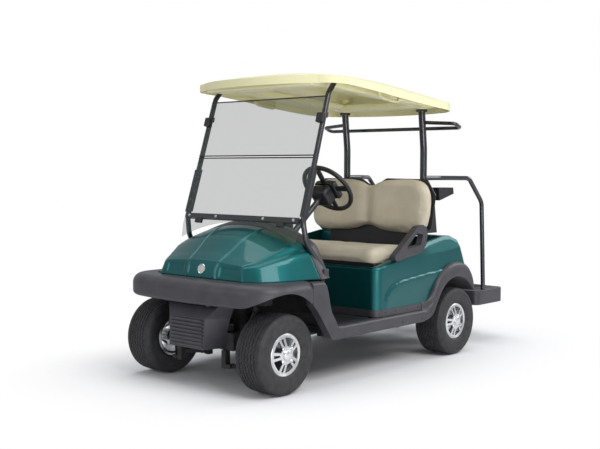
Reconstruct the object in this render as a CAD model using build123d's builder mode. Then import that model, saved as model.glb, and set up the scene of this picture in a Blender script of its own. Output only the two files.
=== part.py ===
from build123d import *

import math
import os

os.makedirs("parts", exist_ok=True)

# Two-seat electric golf cart, millimetres. +X forward, +Y the cart's left, +Z up, ground at z = 0.
# The origin is on the ground, in the middle of the overall length and width.

# ---------------------------------------------------------------- driving dimensions
wheelbase = 1675.0
front_overhang = 278.0  # front axle to the nose of the bumper
rear_overhang = 827.0  # rear axle to the back edge of the step
front_track = 933.0
rear_track = 1001.0

tyre_diameter = 457.0  # 18 x 8.5 - 8
tyre_width = 205.0
rim_lip_radius = 120.0
bead_radius = 104.0
fit = 0.3  # gap between pieces that seat on each other
pin_gap = 0.5  # radial gap of a turning fit

front_x = (front_overhang + wheelbase + rear_overhang) / 2 - front_overhang
rear_x = front_x - wheelbase
axle_z = tyre_diameter / 2


def F(distance):
    """X of a point that many millimetres ahead of the front axle."""
    return front_x + distance


def R(distance):
    """X of a point that many millimetres ahead of the rear axle."""
    return rear_x + distance


# ---------------------------------------------------------------- wheels
rim_half_width = 86.0
bead_half_width = 80.0
barrel_inner_radius = 97.0
hub_radius = 36.0
hub_depth = 60.0  # hub boss behind the wheel's middle plane
face_reach = 104.0  # centre cap in front of the wheel's middle plane
shaft_radius = 15.0
drum_radius = 84.0
spoke_pairs = 5
narrow_window = [(54, -5), (96, -9), (96, 9), (54, 5)]
wide_window = [(50, -13), (93, -36), (98, 0), (93, 36), (50, 13)]

wheel_corners = [
    # name, x of the axle, y of the wheel's middle plane, brake drum
    ("front_left", front_x, front_track / 2, False),
    ("front_right", front_x, -front_track / 2, False),
    ("rear_left", rear_x, rear_track / 2, True),
    ("rear_right", rear_x, -rear_track / 2, True),
]


def wheel_plane(x, y):
    """Sketch plane through a wheel's axis: local X runs outboard, local Y is the radius."""
    side = math.copysign(1, y)
    return Plane(origin=(x, y, axle_z), x_dir=(0, side, 0), z_dir=(side, 0, 0))


def wheel_axis(x, y):
    return Axis((x, y, axle_z), (0, 1, 0))


def make_tyre(name, x, y):
    crown_radius = tyre_diameter / 2
    tread_half = 74.0
    shoulder = (92.0, crown_radius - 16.0)
    tread_edge = (tread_half, crown_radius - 3.0)
    seat = bead_half_width - fit
    bulge = (tyre_width / 2, crown_radius - 62.0)
    with BuildPart() as tyre:
        with BuildSketch(wheel_plane(x, y)):
            with BuildLine():
                Line((-seat, bead_radius), (seat, bead_radius))
                Line((seat, bead_radius), (seat, rim_lip_radius + 2))
                ThreePointArc((seat, rim_lip_radius + 2), bulge, shoulder)
                Line(shoulder, tread_edge)
                ThreePointArc(tread_edge, (0, crown_radius), (-tread_edge[0], tread_edge[1]))
                Line((-tread_edge[0], tread_edge[1]), (-shoulder[0], shoulder[1]))
                ThreePointArc((-shoulder[0], shoulder[1]), (-bulge[0], bulge[1]), (-seat, rim_lip_radius + 2))
                Line((-seat, rim_lip_radius + 2), (-seat, bead_radius))
            make_face()
        revolve(axis=wheel_axis(x, y))
    tyre.part.label = f"tyre_{name}"
    export_step(tyre.part, f"parts/tyre_{name}.step")


def make_rim(name, x, y, drum):
    barrel = bead_radius - fit
    bore = shaft_radius + pin_gap
    lip = rim_half_width
    profile = [
        # axial distance outboard, radius
        (face_reach, 0),
        (face_reach - 3, 22),
        (face_reach - 8, 31),
        (face_reach - 9, 44),
        (face_reach - 14, 62),
        (lip - 4, rim_lip_radius - 13),
        (lip, rim_lip_radius - 4),
        (lip - 2, rim_lip_radius),
        (bead_half_width, rim_lip_radius),
        (bead_half_width, barrel),
        (-bead_half_width, barrel),
        (-bead_half_width, rim_lip_radius),
        (-lip, rim_lip_radius),
        (-lip, rim_lip_radius - 12),
        (-lip + 8, barrel_inner_radius),
        (lip - 18, barrel_inner_radius),
        (face_reach - 26, 62),
        (face_reach - 24, hub_radius),
        (-hub_depth, hub_radius),
        (-hub_depth, bore),
        (face_reach - 26, bore),
        (face_reach - 26, 0),
    ]
    with BuildPart() as rim:
        with BuildSketch(wheel_plane(x, y)):
            with BuildLine():
                Polyline(*profile, close=True)
            make_face()
        revolve(axis=wheel_axis(x, y))
        disc = Plane(origin=(x, y, axle_z), x_dir=(1, 0, 0), z_dir=(0, math.copysign(1, y), 0))
        with BuildSketch(disc.offset(60)) as windows:
            with PolarLocations(0, spoke_pairs):
                Polygon(*narrow_window, align=None)
            with PolarLocations(0, spoke_pairs, start_angle=180 / spoke_pairs):
                Polygon(*wide_window, align=None)
            fillet(windows.vertices(), 4)
        extrude(amount=60, mode=Mode.SUBTRACT)
        if drum:
            with BuildSketch(disc.offset(-hub_depth)):
                Circle(drum_radius)
                Circle(hub_radius - 1, mode=Mode.SUBTRACT)
            extrude(amount=70)
            with BuildSketch(disc.offset(-hub_depth)):
                Circle(drum_radius - 7)
                Circle(hub_radius + 6, mode=Mode.SUBTRACT)
            extrude(amount=60, mode=Mode.SUBTRACT)
    rim.part.label = f"rim_{name}"
    export_step(rim.part, f"parts/rim_{name}.step")


for corner, corner_x, corner_y, has_drum in wheel_corners:
    make_tyre(corner, corner_x, corner_y)
    make_rim(corner, corner_x, corner_y, has_drum)

# ---------------------------------------------------------------- front steering and suspension
kingpin_offset = 121.5  # wheel's middle plane to the kingpin axis
kingpin_y = front_track / 2 - kingpin_offset
kingpin_radius = 9.0
upright_radius = 19.0
upright_foot = axle_z - 78.0
spindle_end = 72.0  # end of the spindle outboard of the wheel's middle plane
arm_back = 95.0  # steering arm's ball behind the kingpin
arm_in = 22.0  # and inboard of it
arm_thickness = 14.0
arm_top = axle_z + 108.0
upright_head = arm_top + 4.0
eye_radius = 14.0
rod_radius = 8.0
rod_z = arm_top + pin_gap + rod_radius + 1


def outboard_plane(x, y, z):
    """Plane that looks outboard along Y, on the side of the cart where y lies."""
    return Plane(origin=(x, y, z), x_dir=(1, 0, 0), z_dir=(0, math.copysign(1, y), 0))


def make_knuckle(name, side):
    y = side * kingpin_y
    ball = (front_x - arm_back, y - side * arm_in)
    with BuildPart() as knuckle:
        with BuildSketch(Plane.XY.offset(upright_foot)):
            with Locations((front_x, y)):
                Circle(upright_radius)
        extrude(amount=upright_head - upright_foot)
        with BuildSketch(outboard_plane(front_x, y, axle_z)):
            Circle(shaft_radius)
        extrude(amount=kingpin_offset + spindle_end)
        with BuildSketch(outboard_plane(front_x, y, axle_z)):
            Circle(shaft_radius + 11)
        extrude(amount=kingpin_offset - hub_depth - 2)
        with BuildSketch(Plane.XY.offset(arm_top - arm_thickness)):
            Polygon(
                (front_x - 4, y + side * 14),
                (ball[0] - 2, ball[1] + side * 11),
                (ball[0] + 2, ball[1] - side * 11),
                (front_x + 4, y - side * 16),
                align=None,
            )
            with Locations(ball):
                Circle(eye_radius)
        extrude(amount=arm_thickness)
        with BuildSketch(Plane.XY.offset(upright_foot)):
            with Locations((front_x, y)):
                Circle(kingpin_radius + pin_gap)
        extrude(amount=upright_head - upright_foot, mode=Mode.SUBTRACT)
    knuckle.part.label = f"knuckle_{name}"
    export_step(knuckle.part, f"parts/knuckle_{name}.step")


make_knuckle("left", 1)
make_knuckle("right", -1)

rail_y = 190.0
rail_width = 50.0
rail_top = 326.0
rail_bottom = 226.0

# Lower control arms and coil-over struts
lower_arm_thickness = 22.0
arm_pivot_spread = 110.0
arm_pivot_y = rail_y + rail_width / 2 + 18
strut_radius = 21.0
strut_top_z = 486.5
strut_lean = 33.0  # top of the strut inboard of the kingpin
coil_turns = 6

with BuildPart() as front_suspension:
    arm_z = upright_foot - pin_gap - lower_arm_thickness
    pin_top = upright_head + pin_gap
    for side in (1, -1):
        tip = (front_x, side * kingpin_y)
        with BuildSketch(Plane.XY.offset(arm_z)):
            for end in (1, -1):
                pivot = (F(end * arm_pivot_spread), side * arm_pivot_y)
                Polygon(
                    (tip[0] - 12, tip[1]),
                    (pivot[0] - 13, pivot[1]),
                    (pivot[0] + 13, pivot[1]),
                    (tip[0] + 12, tip[1]),
                    align=None,
                )
            with Locations(tip):
                Circle(18)
        extrude(amount=lower_arm_thickness)
        for end in (1, -1):
            with BuildSketch(Plane.YZ.offset(F(end * arm_pivot_spread) - 20)):
                with Locations((side * (arm_pivot_y - 2), arm_z + lower_arm_thickness / 2)):
                    Circle(13.5)
            extrude(amount=40)
        # kingpin, through the knuckle's bore up into the strut's foot
        with BuildSketch(Plane.XY.offset(arm_z)):
            with Locations(tip):
                Circle(kingpin_radius)
        extrude(amount=pin_top - arm_z + 2)
        # strut: foot, damper body and coil
        lean = Vector(0, -side * strut_lean, strut_top_z - pin_top)
        strut = Plane(origin=(front_x, side * kingpin_y, pin_top), x_dir=(1, 0, 0), z_dir=lean.normalized())
        with BuildSketch(Plane.XY.offset(pin_top)):
            with Locations(tip):
                Circle(17)
        extrude(amount=14)
        with BuildSketch(strut.offset(8)):
            Circle(13)
        extrude(amount=lean.length - 8)
        pitch = (lean.length - 40) / coil_turns
        for turn in range(coil_turns):
            with BuildSketch(strut.offset(28 + turn * pitch)):
                Circle(strut_radius)
            extrude(amount=pitch / 2)
front_suspension.part.label = "front_suspension"
export_step(front_suspension.part, "parts/front_suspension.step")

# Rack and tie rods: one sliding bar with an eye over each steering arm
eye_y = kingpin_y - arm_in
with BuildPart() as steering_rack:
    with BuildSketch(Plane(origin=(F(-arm_back), -eye_y, rod_z), x_dir=(1, 0, 0), z_dir=(0, 1, 0))):
        Circle(rod_radius)
    extrude(amount=2 * eye_y)
    with BuildSketch(Plane.XY.offset(arm_top + pin_gap)):
        with Locations((F(-arm_back), eye_y), (F(-arm_back), -eye_y)):
            Circle(eye_radius)
    extrude(amount=2 * rod_radius + 2)
steering_rack.part.label = "steering_rack"
export_step(steering_rack.part, "parts/steering_rack.step")

# ---------------------------------------------------------------- frame
kick_start = 262.0  # where the rails begin to rise, ahead of the rear axle
rear_rail_bottom = 345.0
rear_rail_top = 440.0
rear_rail_end = 400.0  # behind the rear axle
nose_box_front = 110.0
nose_box_back = 50.0
nose_box_half_width = 250.0
tower_z = (490.0, 530.0)
tower_half_width = 420.0
sill_half_width = 545.0
spring_y = 310.0
spring_half_span = 370.0
leaf_width = 50.0
spring_eye_radius = 16.0
spring_eye_z = rear_rail_bottom - fit - spring_eye_radius
upright_x = F(-352)  # posts at the cowl that carry the windshield struts
upright_y = 505.0
upright_size = (30.0, 34.0)
upright_top = 640.0
post_y = 336.0  # rear roof posts
post_x = R(36)
post_radius = 24.0
post_bar_top = rear_rail_top

step_top = 380.0
step_skin = 10.0
step_arm_size = 40.0
step_arm_reach = 790.0  # behind the rear axle

with BuildPart() as frame:
    rail_side = [
        # x, z of the rail's side view
        (F(nose_box_back), rail_top),
        (R(kick_start), rail_top),
        (R(kick_start - 80), rear_rail_top),
        (R(-rear_rail_end), rear_rail_top),
        (R(-rear_rail_end), rear_rail_bottom),
        (R(kick_start - 120), rear_rail_bottom),
        (R(kick_start - 40), rail_bottom),
        (F(nose_box_back), rail_bottom),
    ]
    for side in (1, -1):
        with BuildSketch(Plane.XZ.offset(-side * rail_y)):
            Polygon(*rail_side, align=None)
        extrude(amount=rail_width / 2, both=True)
    with BuildSketch(Plane.XZ):
        cross_members = [
            # x, z of the middle, width along X, height
            (F((nose_box_front + nose_box_back) / 2), (rail_top + rail_bottom) / 2, nose_box_front - nose_box_back, 100),
        ]
        for x, z, width, height in cross_members:
            with Locations((x, z)):
                Rectangle(width, height)
    extrude(amount=nose_box_half_width, both=True)
    # strut towers: two posts on the rails and a beam over the tyres
    with BuildSketch(Plane.XY.offset(rail_top - 1)):
        with Locations((front_x, rail_y), (front_x, -rail_y)):
            Rectangle(50, rail_width)
    extrude(amount=tower_z[0] - rail_top + 2)
    with BuildSketch(Plane.XZ):
        with Locations((front_x, sum(tower_z) / 2)):
            Rectangle(60, tower_z[1] - tower_z[0])
    extrude(amount=tower_half_width, both=True)
    # brackets that carry the lower arms under the rails
    bracket_z = arm_z + lower_arm_thickness / 2
    for side in (1, -1):
        for end in (1, -1):
            with BuildSketch(Plane.XY.offset(bracket_z - 14)):
                with Locations((F(end * arm_pivot_spread), side * (rail_y - 2))):
                    Rectangle(36, 34)
            extrude(amount=rail_bottom - bracket_z + 15)
            with BuildSketch(Plane.YZ.offset(F(end * arm_pivot_spread) - 18)):
                with Locations((side * (rail_y + rail_width / 2 - 5), bracket_z)):
                    Rectangle(15, 20)
            extrude(amount=36)
    # outriggers under the floor and the batteries, and the sill bars at their ends
    outriggers = [
        # x, half width
        (F(-430), sill_half_width),
        ((front_x + rear_x) / 2 - 20, sill_half_width),
        (R(760), sill_half_width),
        (R(330), rail_y + rail_width),
    ]
    for x, half_width in outriggers:
        with BuildSketch(Plane.XZ):
            with Locations((x, rail_top - 20)):
                Rectangle(40, 40)
        extrude(amount=half_width, both=True)
    with BuildSketch(Plane.XY.offset(rail_top - 40)):
        sill_middle = (F(-352 - 15) + R(740)) / 2
        sill_length = F(-352 - 15) - R(740) + 30
        with Locations((sill_middle, upright_y), (sill_middle, -upright_y)):
            Rectangle(sill_length, upright_size[1])
    extrude(amount=40)
    # uprights at the cowl, joined by a beam under the dash
    with BuildSketch(Plane.XY.offset(rail_top - 40)):
        with Locations((upright_x, upright_y), (upright_x, -upright_y)):
            Rectangle(*upright_size)
    extrude(amount=upright_top - rail_top + 40)
    with BuildSketch(Plane.XZ):
        with Locations((upright_x, upright_top - 20)):
            Rectangle(upright_size[0], 40)
    extrude(amount=upright_y, both=True)
    # spring hangers: the front eye stands on its bar, the rear eye hangs under its bar
    with BuildSketch(Plane.XZ):
        with Locations((R(spring_half_span), spring_eye_z - spring_eye_radius - fit - 20)):
            Rectangle(38, 40)
        with Locations((R(-spring_half_span), rear_rail_bottom + 20)):
            Rectangle(38, 40)
    extrude(amount=spring_y + leaf_width / 2, both=True)
    # arms out to the rear step
    for side in (1, -1):
        with BuildSketch(Plane.YZ.offset(R(-rear_rail_end + 20))):
            with Locations((side * rail_y, step_top - step_skin - fit - step_arm_size / 2)):
                Rectangle(step_arm_size, step_arm_size)
        extrude(amount=-(step_arm_reach - rear_rail_end + 20))
    # bar under the roof posts
    with BuildSketch(Plane.XZ):
        with Locations((post_x, post_bar_top - 20)):
            Rectangle(60, 40)
    extrude(amount=post_y + 26, both=True)
frame.part.label = "frame"
export_step(frame.part, "parts/frame.step")

# ---------------------------------------------------------------- rear axle, springs, motor, batteries
axle_tube_radius = 35.0
axle_tube_half = rear_track / 2 - hub_depth - 10
backing_plate_radius = 90.0
gearbox_y = 60.0
gearbox_half_width = 45.0
gearbox_radius = 100.0
motor_x = R(-190)
motor_radius = 88.0
motor_length = 190.0


def axle_plane(y, x=rear_x, z=axle_z):
    """Sketch plane across the cart at height z, facing +Y."""
    return Plane(origin=(x, y, z), x_dir=(1, 0, 0), z_dir=(0, 1, 0))


with BuildPart() as rear_axle:
    with BuildSketch(axle_plane(0)):
        Circle(axle_tube_radius)
    extrude(amount=axle_tube_half, both=True)
    with BuildSketch(axle_plane(0)):
        Circle(shaft_radius)
    extrude(amount=rear_track / 2 + spindle_end, both=True)
    with BuildSketch(axle_plane(gearbox_y)):
        Circle(gearbox_radius)
        with Locations((motor_x - rear_x, 0)):
            Circle(motor_radius - 6)
        make_hull()
    extrude(amount=gearbox_half_width, both=True)
    for side in (1, -1):
        with BuildSketch(axle_plane(side * (axle_tube_half - 3))):
            Circle(backing_plate_radius)
        extrude(amount=3, both=True)
rear_axle.part.label = "rear_axle"
export_step(rear_axle.part, "parts/rear_axle.step")

with BuildPart() as motor:
    with BuildSketch(axle_plane(gearbox_y - gearbox_half_width - fit, motor_x)):
        Circle(motor_radius)
    extrude(amount=-motor_length)
motor.part.label = "motor"
export_step(motor.part, "parts/motor.step")

leaf_thickness = 8.0
leaf_half_lengths = (spring_half_span, 270.0, 170.0)  # main leaf first

with BuildPart() as rear_springs:
    seat_z = axle_z + axle_tube_radius + fit
    main_z = seat_z + (len(leaf_half_lengths) - 1) * leaf_thickness
    rise = spring_eye_z - main_z - leaf_thickness / 2
    for side in (1, -1):
        for index, half_length in enumerate(leaf_half_lengths):
            low = main_z - index * leaf_thickness
            high_end = low + rise * (half_length / spring_half_span) ** 2
            with BuildSketch(Plane.XZ.offset(-side * spring_y)):
                with BuildLine():
                    under = ThreePointArc((R(-half_length), high_end), (rear_x, low), (R(half_length), high_end))
                    over = ThreePointArc(
                        (R(-half_length), high_end + leaf_thickness + 0.2),
                        (rear_x, low + leaf_thickness + 0.2),
                        (R(half_length), high_end + leaf_thickness + 0.2),
                    )
                    Line(under @ 0, over @ 0)
                    Line(under @ 1, over @ 1)
                make_face()
            extrude(amount=leaf_width / 2, both=True)
        with BuildSketch(Plane.XZ.offset(-side * spring_y)):
            with Locations((R(-spring_half_span), spring_eye_z), (R(spring_half_span), spring_eye_z)):
                Circle(spring_eye_radius)
        extrude(amount=leaf_width / 2, both=True)
rear_springs.part.label = "rear_springs"
export_step(rear_springs.part, "parts/rear_springs.step")

battery_size = (260.0, 180.0, 265.0)
battery_gap = 4.0
battery_front = R(810)

with BuildPart() as batteries:
    pitch_x = battery_size[0] + battery_gap
    pitch_y = battery_size[1] + battery_gap
    with BuildSketch(Plane.XY.offset(rail_top + fit)):
        with Locations((battery_front - pitch_x, 0)):
            with GridLocations(pitch_x, pitch_y, 2, 3):
                Rectangle(battery_size[0], battery_size[1])
    extrude(amount=battery_size[2])
    with BuildSketch(Plane.XY.offset(rail_top + fit + battery_size[2])):
        with Locations((battery_front - pitch_x, 0)):
            with GridLocations(pitch_x, pitch_y, 2, 3):
                with Locations((-90, 0), (90, 0)):
                    Circle(9)
    extrude(amount=16)
batteries.part.label = "batteries"
export_step(batteries.part, "parts/batteries.step")

# ---------------------------------------------------------------- front body: hood, bumper, dash
wall = 5.0
hood_z = 626.0  # lower edge of the hood

hood_stations = [
    # x at the lower edge, x lean per mm of height, half width low, half width at shoulder,
    # shoulder height, crown height, shoulder radius (all above the lower edge)
    (F(134), -0.28, 345.0, 328.0, 84.0, 98.0, 30.0),
    (F(62), -0.15, 428.0, 385.0, 104.0, 146.0, 62.0),
    (F(-70), 0.0, 500.0, 448.0, 148.0, 232.0, 92.0),
    (F(-292), 0.24, 552.0, 487.0, 190.0, 290.0, 104.0),
]


def arch_section(station, inset, drop=0.0):
    """One closed hood section: flat foot, leaning flanks, crowned top, rounded shoulders."""
    x, lean, foot, shoulder, shoulder_z, crown_z, radius = station
    plane = Plane(origin=(x, 0, hood_z - drop), x_dir=(0, 1, 0), z_dir=Vector(-1, 0, lean).normalized() * -1)
    foot -= inset
    shoulder -= inset
    shoulder_z += drop - inset
    crown_z += drop - inset
    with BuildSketch(plane, mode=Mode.PRIVATE) as section:
        with BuildLine():
            Line((-foot, 0), (foot, 0))
            Line((foot, 0), (shoulder, shoulder_z))
            ThreePointArc((shoulder, shoulder_z), (0, crown_z), (-shoulder, shoulder_z))
            Line((-shoulder, shoulder_z), (-foot, 0))
        make_face()
        corners = section.vertices().group_by(Axis.Y)[-1]
        fillet(corners, max(radius - inset, 4))
    return section.sketch


def bent_tube(points, bend, radius):
    """A round tube along straight runs joined by tangent bends."""
    with BuildPart(mode=Mode.PRIVATE) as tube:
        with BuildLine() as route:
            FilletPolyline(*points, radius=bend)
        with BuildSketch(Plane(origin=route.line @ 0, z_dir=route.line % 0)):
            Circle(radius)
        sweep(path=route.line)
    return tube.part


# ---------------------------------------------------------------- windshield struts and dash
strut_tube_radius = 16.0
crossbar_z = 956.0
crossbar_x = F(-210)
crossbar_y = 487.0
strut_head = (F(-498), 474.0)
strut_top = 1762.0
glass_rake = 0.315  # rearward lean per mm of height


def strut_route(side):
    return [
        (upright_x, side * upright_y, upright_top + fit),
        (upright_x, side * upright_y, 690.0),
        (F(-232), side * 497, 830.0),
        (crossbar_x, side * crossbar_y, crossbar_z),
        (crossbar_x - glass_rake * (1704.0 - crossbar_z), side * 477, 1704.0),
        (strut_head[0] - 26, side * strut_head[1], strut_top + 30),
    ]


strut_bends = (40, 120, 150, 70)

hood_wall = 4.0

with BuildPart() as front_cowl:
    loft([arch_section(station, 0) for station in hood_stations])
    inner_stations = [
        (hood_stations[0][0] - hood_wall, *hood_stations[0][1:]),
        *hood_stations[1:3],
        (hood_stations[3][0] - 2, *hood_stations[3][1:]),
    ]
    loft([arch_section(station, hood_wall, 2) for station in inner_stations], mode=Mode.SUBTRACT)
    for side in (1, -1):
        add(bent_tube(strut_route(side), strut_bends, strut_tube_radius + 1), mode=Mode.SUBTRACT)
front_cowl.part.label = "front_cowl"
export_step(front_cowl.part, "parts/front_cowl.step")

# Bumper and front fenders, one moulding swept round the nose
fender_half_width = 604.0
bumper_top = hood_z - fit
bumper_bottom = 494.0
bumper_wall = 5.0
bumper_flange = 150.0  # width of the flange that the hood stands on
bumper_crown_radius = 58.0
bumper_foot_radius = 20.0
bumper_lip = 40.0
fender_rear_x = F(-168)
nose_bow = 50.0
apex_allowance = 6.84  # the wide nose radius takes this much off the apex
front_arch_centre = (F(40), 200.0)
front_arch_length = 335.0  # half axes of the arch
front_arch_height = 375.0

with BuildPart() as front_bumper:
    with BuildLine() as nose_path:
        shoulder_x = F(front_overhang + apex_allowance - nose_bow)
        FilletPolyline(
            (fender_rear_x, fender_half_width),
            (shoulder_x, fender_half_width),
            (F(front_overhang + apex_allowance), 0),
            (shoulder_x, -fender_half_width),
            (fender_rear_x, -fender_half_width),
            radius=(215, 2000, 215),
        )
    with BuildSketch(Plane(origin=(fender_rear_x, fender_half_width, 0), x_dir=(0, -1, 0), z_dir=(1, 0, 0)).offset(0)):
        # local X runs inboard from the outer face, local Y downward
        crown = bumper_top - bumper_crown_radius
        foot = bumper_bottom + bumper_foot_radius
        crown_bend = bumper_crown_radius * (1 - math.cos(math.radians(45)))
        foot_bend = bumper_foot_radius * (1 - math.cos(math.radians(45)))
        inner_crown = bumper_crown_radius - bumper_wall
        inner_foot = bumper_foot_radius - bumper_wall
        with BuildLine():
            Line((0, -foot), (0, -crown))
            ThreePointArc((0, -crown), (crown_bend, -bumper_top + crown_bend), (bumper_crown_radius, -bumper_top))
            Line((bumper_crown_radius, -bumper_top), (bumper_flange, -bumper_top))
            Line((bumper_flange, -bumper_top), (bumper_flange, -bumper_top + bumper_wall))
            Line((bumper_flange, -bumper_top + bumper_wall), (bumper_crown_radius, -bumper_top + bumper_wall))
            RadiusArc(
                (bumper_crown_radius, -bumper_top + bumper_wall), (bumper_wall, -crown), inner_crown
            )
            Line((bumper_wall, -crown), (bumper_wall, -foot))
            RadiusArc((bumper_wall, -foot), (bumper_foot_radius, -bumper_bottom - bumper_wall), inner_foot)
            Line((bumper_foot_radius, -bumper_bottom - bumper_wall), (bumper_lip, -bumper_bottom - bumper_wall))
            Line((bumper_lip, -bumper_bottom - bumper_wall), (bumper_lip, -bumper_bottom))
            Line((bumper_lip, -bumper_bottom), (bumper_foot_radius, -bumper_bottom))
            ThreePointArc((bumper_foot_radius, -bumper_bottom), (foot_bend, -bumper_bottom - foot_bend), (0, -foot))
        make_face()
    sweep(path=nose_path.line)
    # wheel arches
    with BuildSketch(Plane.XZ):
        with Locations(front_arch_centre):
            Ellipse(front_arch_length, front_arch_height)
    extrude(amount=fender_half_width + 20, both=True, mode=Mode.SUBTRACT)
front_bumper.part.label = "front_bumper"
export_step(front_bumper.part, "parts/front_bumper.step")

# Ribbed apron: a snout between the front wheels
apron_rear = F(nose_box_front + fit)
apron_rows = [
    # height, front face, half width at the front, half width at the rear
    (236.0, F(242), 143.0, 176.0),
    (412.0, F(236), 150.0, 225.0),
    (488.0, F(185), 215.0, 262.0),
]
apron_wall = 5.0
rib_count = 8
rib_pitch = 21.0
rib_depth = 5.0


def apron_block(inset):
    """The snout, flared out at the top; with an inset the open room inside it."""
    rear = apron_rear - (20 if inset else 0)
    with BuildPart(mode=Mode.PRIVATE) as block:
        for row, (z, front, front_half, rear_half) in enumerate(apron_rows):
            level = z + (inset, 0, 2 * inset)[row]
            with BuildSketch(Plane.XY.offset(level)):
                Polygon(
                    (front - inset, -front_half + inset),
                    (front - inset, front_half - inset),
                    (rear, rear_half - inset),
                    (rear, -rear_half + inset),
                    align=None,
                )
        loft(ruled=True)
    return block.part


with BuildPart() as front_apron:
    add(apron_block(0))
    add(apron_block(apron_wall), mode=Mode.SUBTRACT)
    with BuildSketch(Plane.YZ.offset(apron_rows[1][1] - 1)):
        for rib in range(rib_count):
            with Locations((0, apron_rows[0][0] + 16 + rib * rib_pitch)):
                SlotOverall(2 * apron_rows[0][2] - 16, 10)
    extrude(amount=apron_rows[0][1] - apron_rows[1][1] + 1 + rib_depth)
front_apron.part.label = "front_apron"
export_step(front_apron.part, "parts/front_apron.step")
with BuildPart() as front_struts:
    for side in (1, -1):
        add(bent_tube(strut_route(side), strut_bends, strut_tube_radius))
    # flat heads under the roof
    with BuildSketch(Plane.XY.offset(strut_top)):
        with Locations((strut_head[0], 0)):
            Rectangle(200, 4 * strut_head[1])
    extrude(amount=100, mode=Mode.SUBTRACT)
front_struts.part.label = "front_struts"
export_step(front_struts.part, "parts/front_struts.step")

steer_centre = Vector(F(-706), 255.0, 1136.0)
steer_tilt = 39.5  # degrees between the column and the floor
steer_axis = Vector(-math.cos(math.radians(steer_tilt)), 0, math.sin(math.radians(steer_tilt)))
steer_plane = Plane(origin=steer_centre, x_dir=(0, 1, 0), z_dir=steer_axis)
wheel_rim_radius = 167.0
wheel_grip_radius = 14.0
column_radius = 18.0
column_start = 75.0  # below the steering wheel
column_end = 470.0
steer_shaft_radius = 10.0

dash_stations = [
    (F(-294.5), 0.24, 553.0, 489.0, 192.0, 292.0, 104.0),
    (F(-330), 0.12, 555.0, 480.0, 195.0, 322.0, 104.0),
    (F(-388), 0.02, 540.0, 440.0, 190.0, 300.0, 96.0),
]

with BuildPart() as dash:
    loft([arch_section(station, 0) for station in dash_stations])
    dash_inner = [
        (dash_stations[0][0] + 4, *dash_stations[0][1:]),
        dash_stations[1],
        (dash_stations[2][0] + wall, *dash_stations[2][1:]),
    ]
    loft([arch_section(station, wall, 4) for station in dash_inner], mode=Mode.SUBTRACT)
    for side in (1, -1):
        add(bent_tube(strut_route(side), strut_bends, strut_tube_radius + 1), mode=Mode.SUBTRACT)
    with BuildSketch(steer_plane.offset(-column_end - 40)):
        Circle(column_radius + 1)
    extrude(amount=column_end, mode=Mode.SUBTRACT)
dash.part.label = "dash"
export_step(dash.part, "parts/dash.step")

# ---------------------------------------------------------------- steering wheel, column, pedals
with BuildPart() as steering_wheel:
    with Locations(steer_plane):
        Torus(wheel_rim_radius, wheel_grip_radius)
    with BuildSketch(steer_plane.offset(-18)) as pad:
        RectangleRounded(118, 104, 18)
    extrude(amount=34)
    with BuildSketch(steer_plane.offset(-8)):
        Rectangle(2 * wheel_rim_radius, 26)
        with Locations((0, -wheel_rim_radius / 2)):
            Rectangle(34, wheel_rim_radius)
    extrude(amount=12)
    with BuildSketch(steer_plane.offset(-column_end + 90)):
        Circle(steer_shaft_radius)
    extrude(amount=column_end - 90)
    with BuildSketch(steer_plane.offset(-column_start + 6)):
        Circle(24)
    extrude(amount=column_start - 20)
steering_wheel.part.label = "steering_wheel"
export_step(steering_wheel.part, "parts/steering_wheel.step")

rack_housing_radius = rod_z - rail_top - fit
with BuildPart() as steering_column:
    with BuildSketch(steer_plane.offset(-column_end)):
        Circle(column_radius)
    extrude(amount=column_end - column_start)
    with BuildSketch(steer_plane.offset(-column_end + 20)):
        Circle(steer_shaft_radius + pin_gap)
    extrude(amount=column_end, mode=Mode.SUBTRACT)
    joint = steer_centre - steer_axis * (column_end - 8)
    gear = Vector(F(-arm_back), 150.0, rod_z)
    shaft = gear - joint
    with BuildSketch(Plane(origin=joint, z_dir=shaft.normalized())):
        Circle(12)
    extrude(amount=shaft.length - rack_housing_radius + 4)
    with Locations(joint):
        Sphere(24)
    with BuildSketch(axle_plane(0, F(-arm_back), rod_z)):
        Circle(rack_housing_radius)
    extrude(amount=rail_y + rail_width / 2, both=True)
    with BuildSketch(axle_plane(0, F(-arm_back), rod_z)):
        Circle(rod_radius + pin_gap)
    extrude(amount=rail_y + rail_width, both=True, mode=Mode.SUBTRACT)
steering_column.part.label = "steering_column"
export_step(steering_column.part, "parts/steering_column.step")

# ---------------------------------------------------------------- floor
floor_top = 346.0
mat_thickness = 6.0
floor_thickness = 6.0
floor_half_width = 551.0
seat_box_front = R(875)
toe_points = [(F(-425), 0), (F(-345), 76), (F(-322), 262)]  # x and rise above the floor pan
toe_half_width = 480.0
pan_z = floor_top - mat_thickness - fit - floor_thickness

with BuildPart() as floor_pan:
    pan_length = toe_points[0][0] - seat_box_front - 4
    with BuildSketch(Plane.XY.offset(pan_z)):
        with Locations(((toe_points[0][0] + seat_box_front + 4) / 2, 0)):
            Rectangle(pan_length, 2 * floor_half_width)
    extrude(amount=floor_thickness)
    with BuildSketch(Plane.XZ):
        with BuildLine():
            Polyline(
                (toe_points[0][0] - 20, pan_z + floor_thickness / 2),
                *[(x, pan_z + floor_thickness / 2 + rise) for x, rise in toe_points],
            )
        trace(line_width=floor_thickness)
    extrude(amount=toe_half_width, both=True)
floor_pan.part.label = "floor_pan"
export_step(floor_pan.part, "parts/floor_pan.step")

with BuildPart() as floor_mat:
    with BuildSketch(Plane.XY.offset(floor_top - mat_thickness)):
        with Locations(((toe_points[0][0] + seat_box_front) / 2, 0)):
            RectangleRounded(pan_length - 24, 2 * floor_half_width - 30, 20)
    extrude(amount=mat_thickness)
floor_mat.part.label = "floor_mat"
export_step(floor_mat.part, "parts/floor_mat.step")



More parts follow.
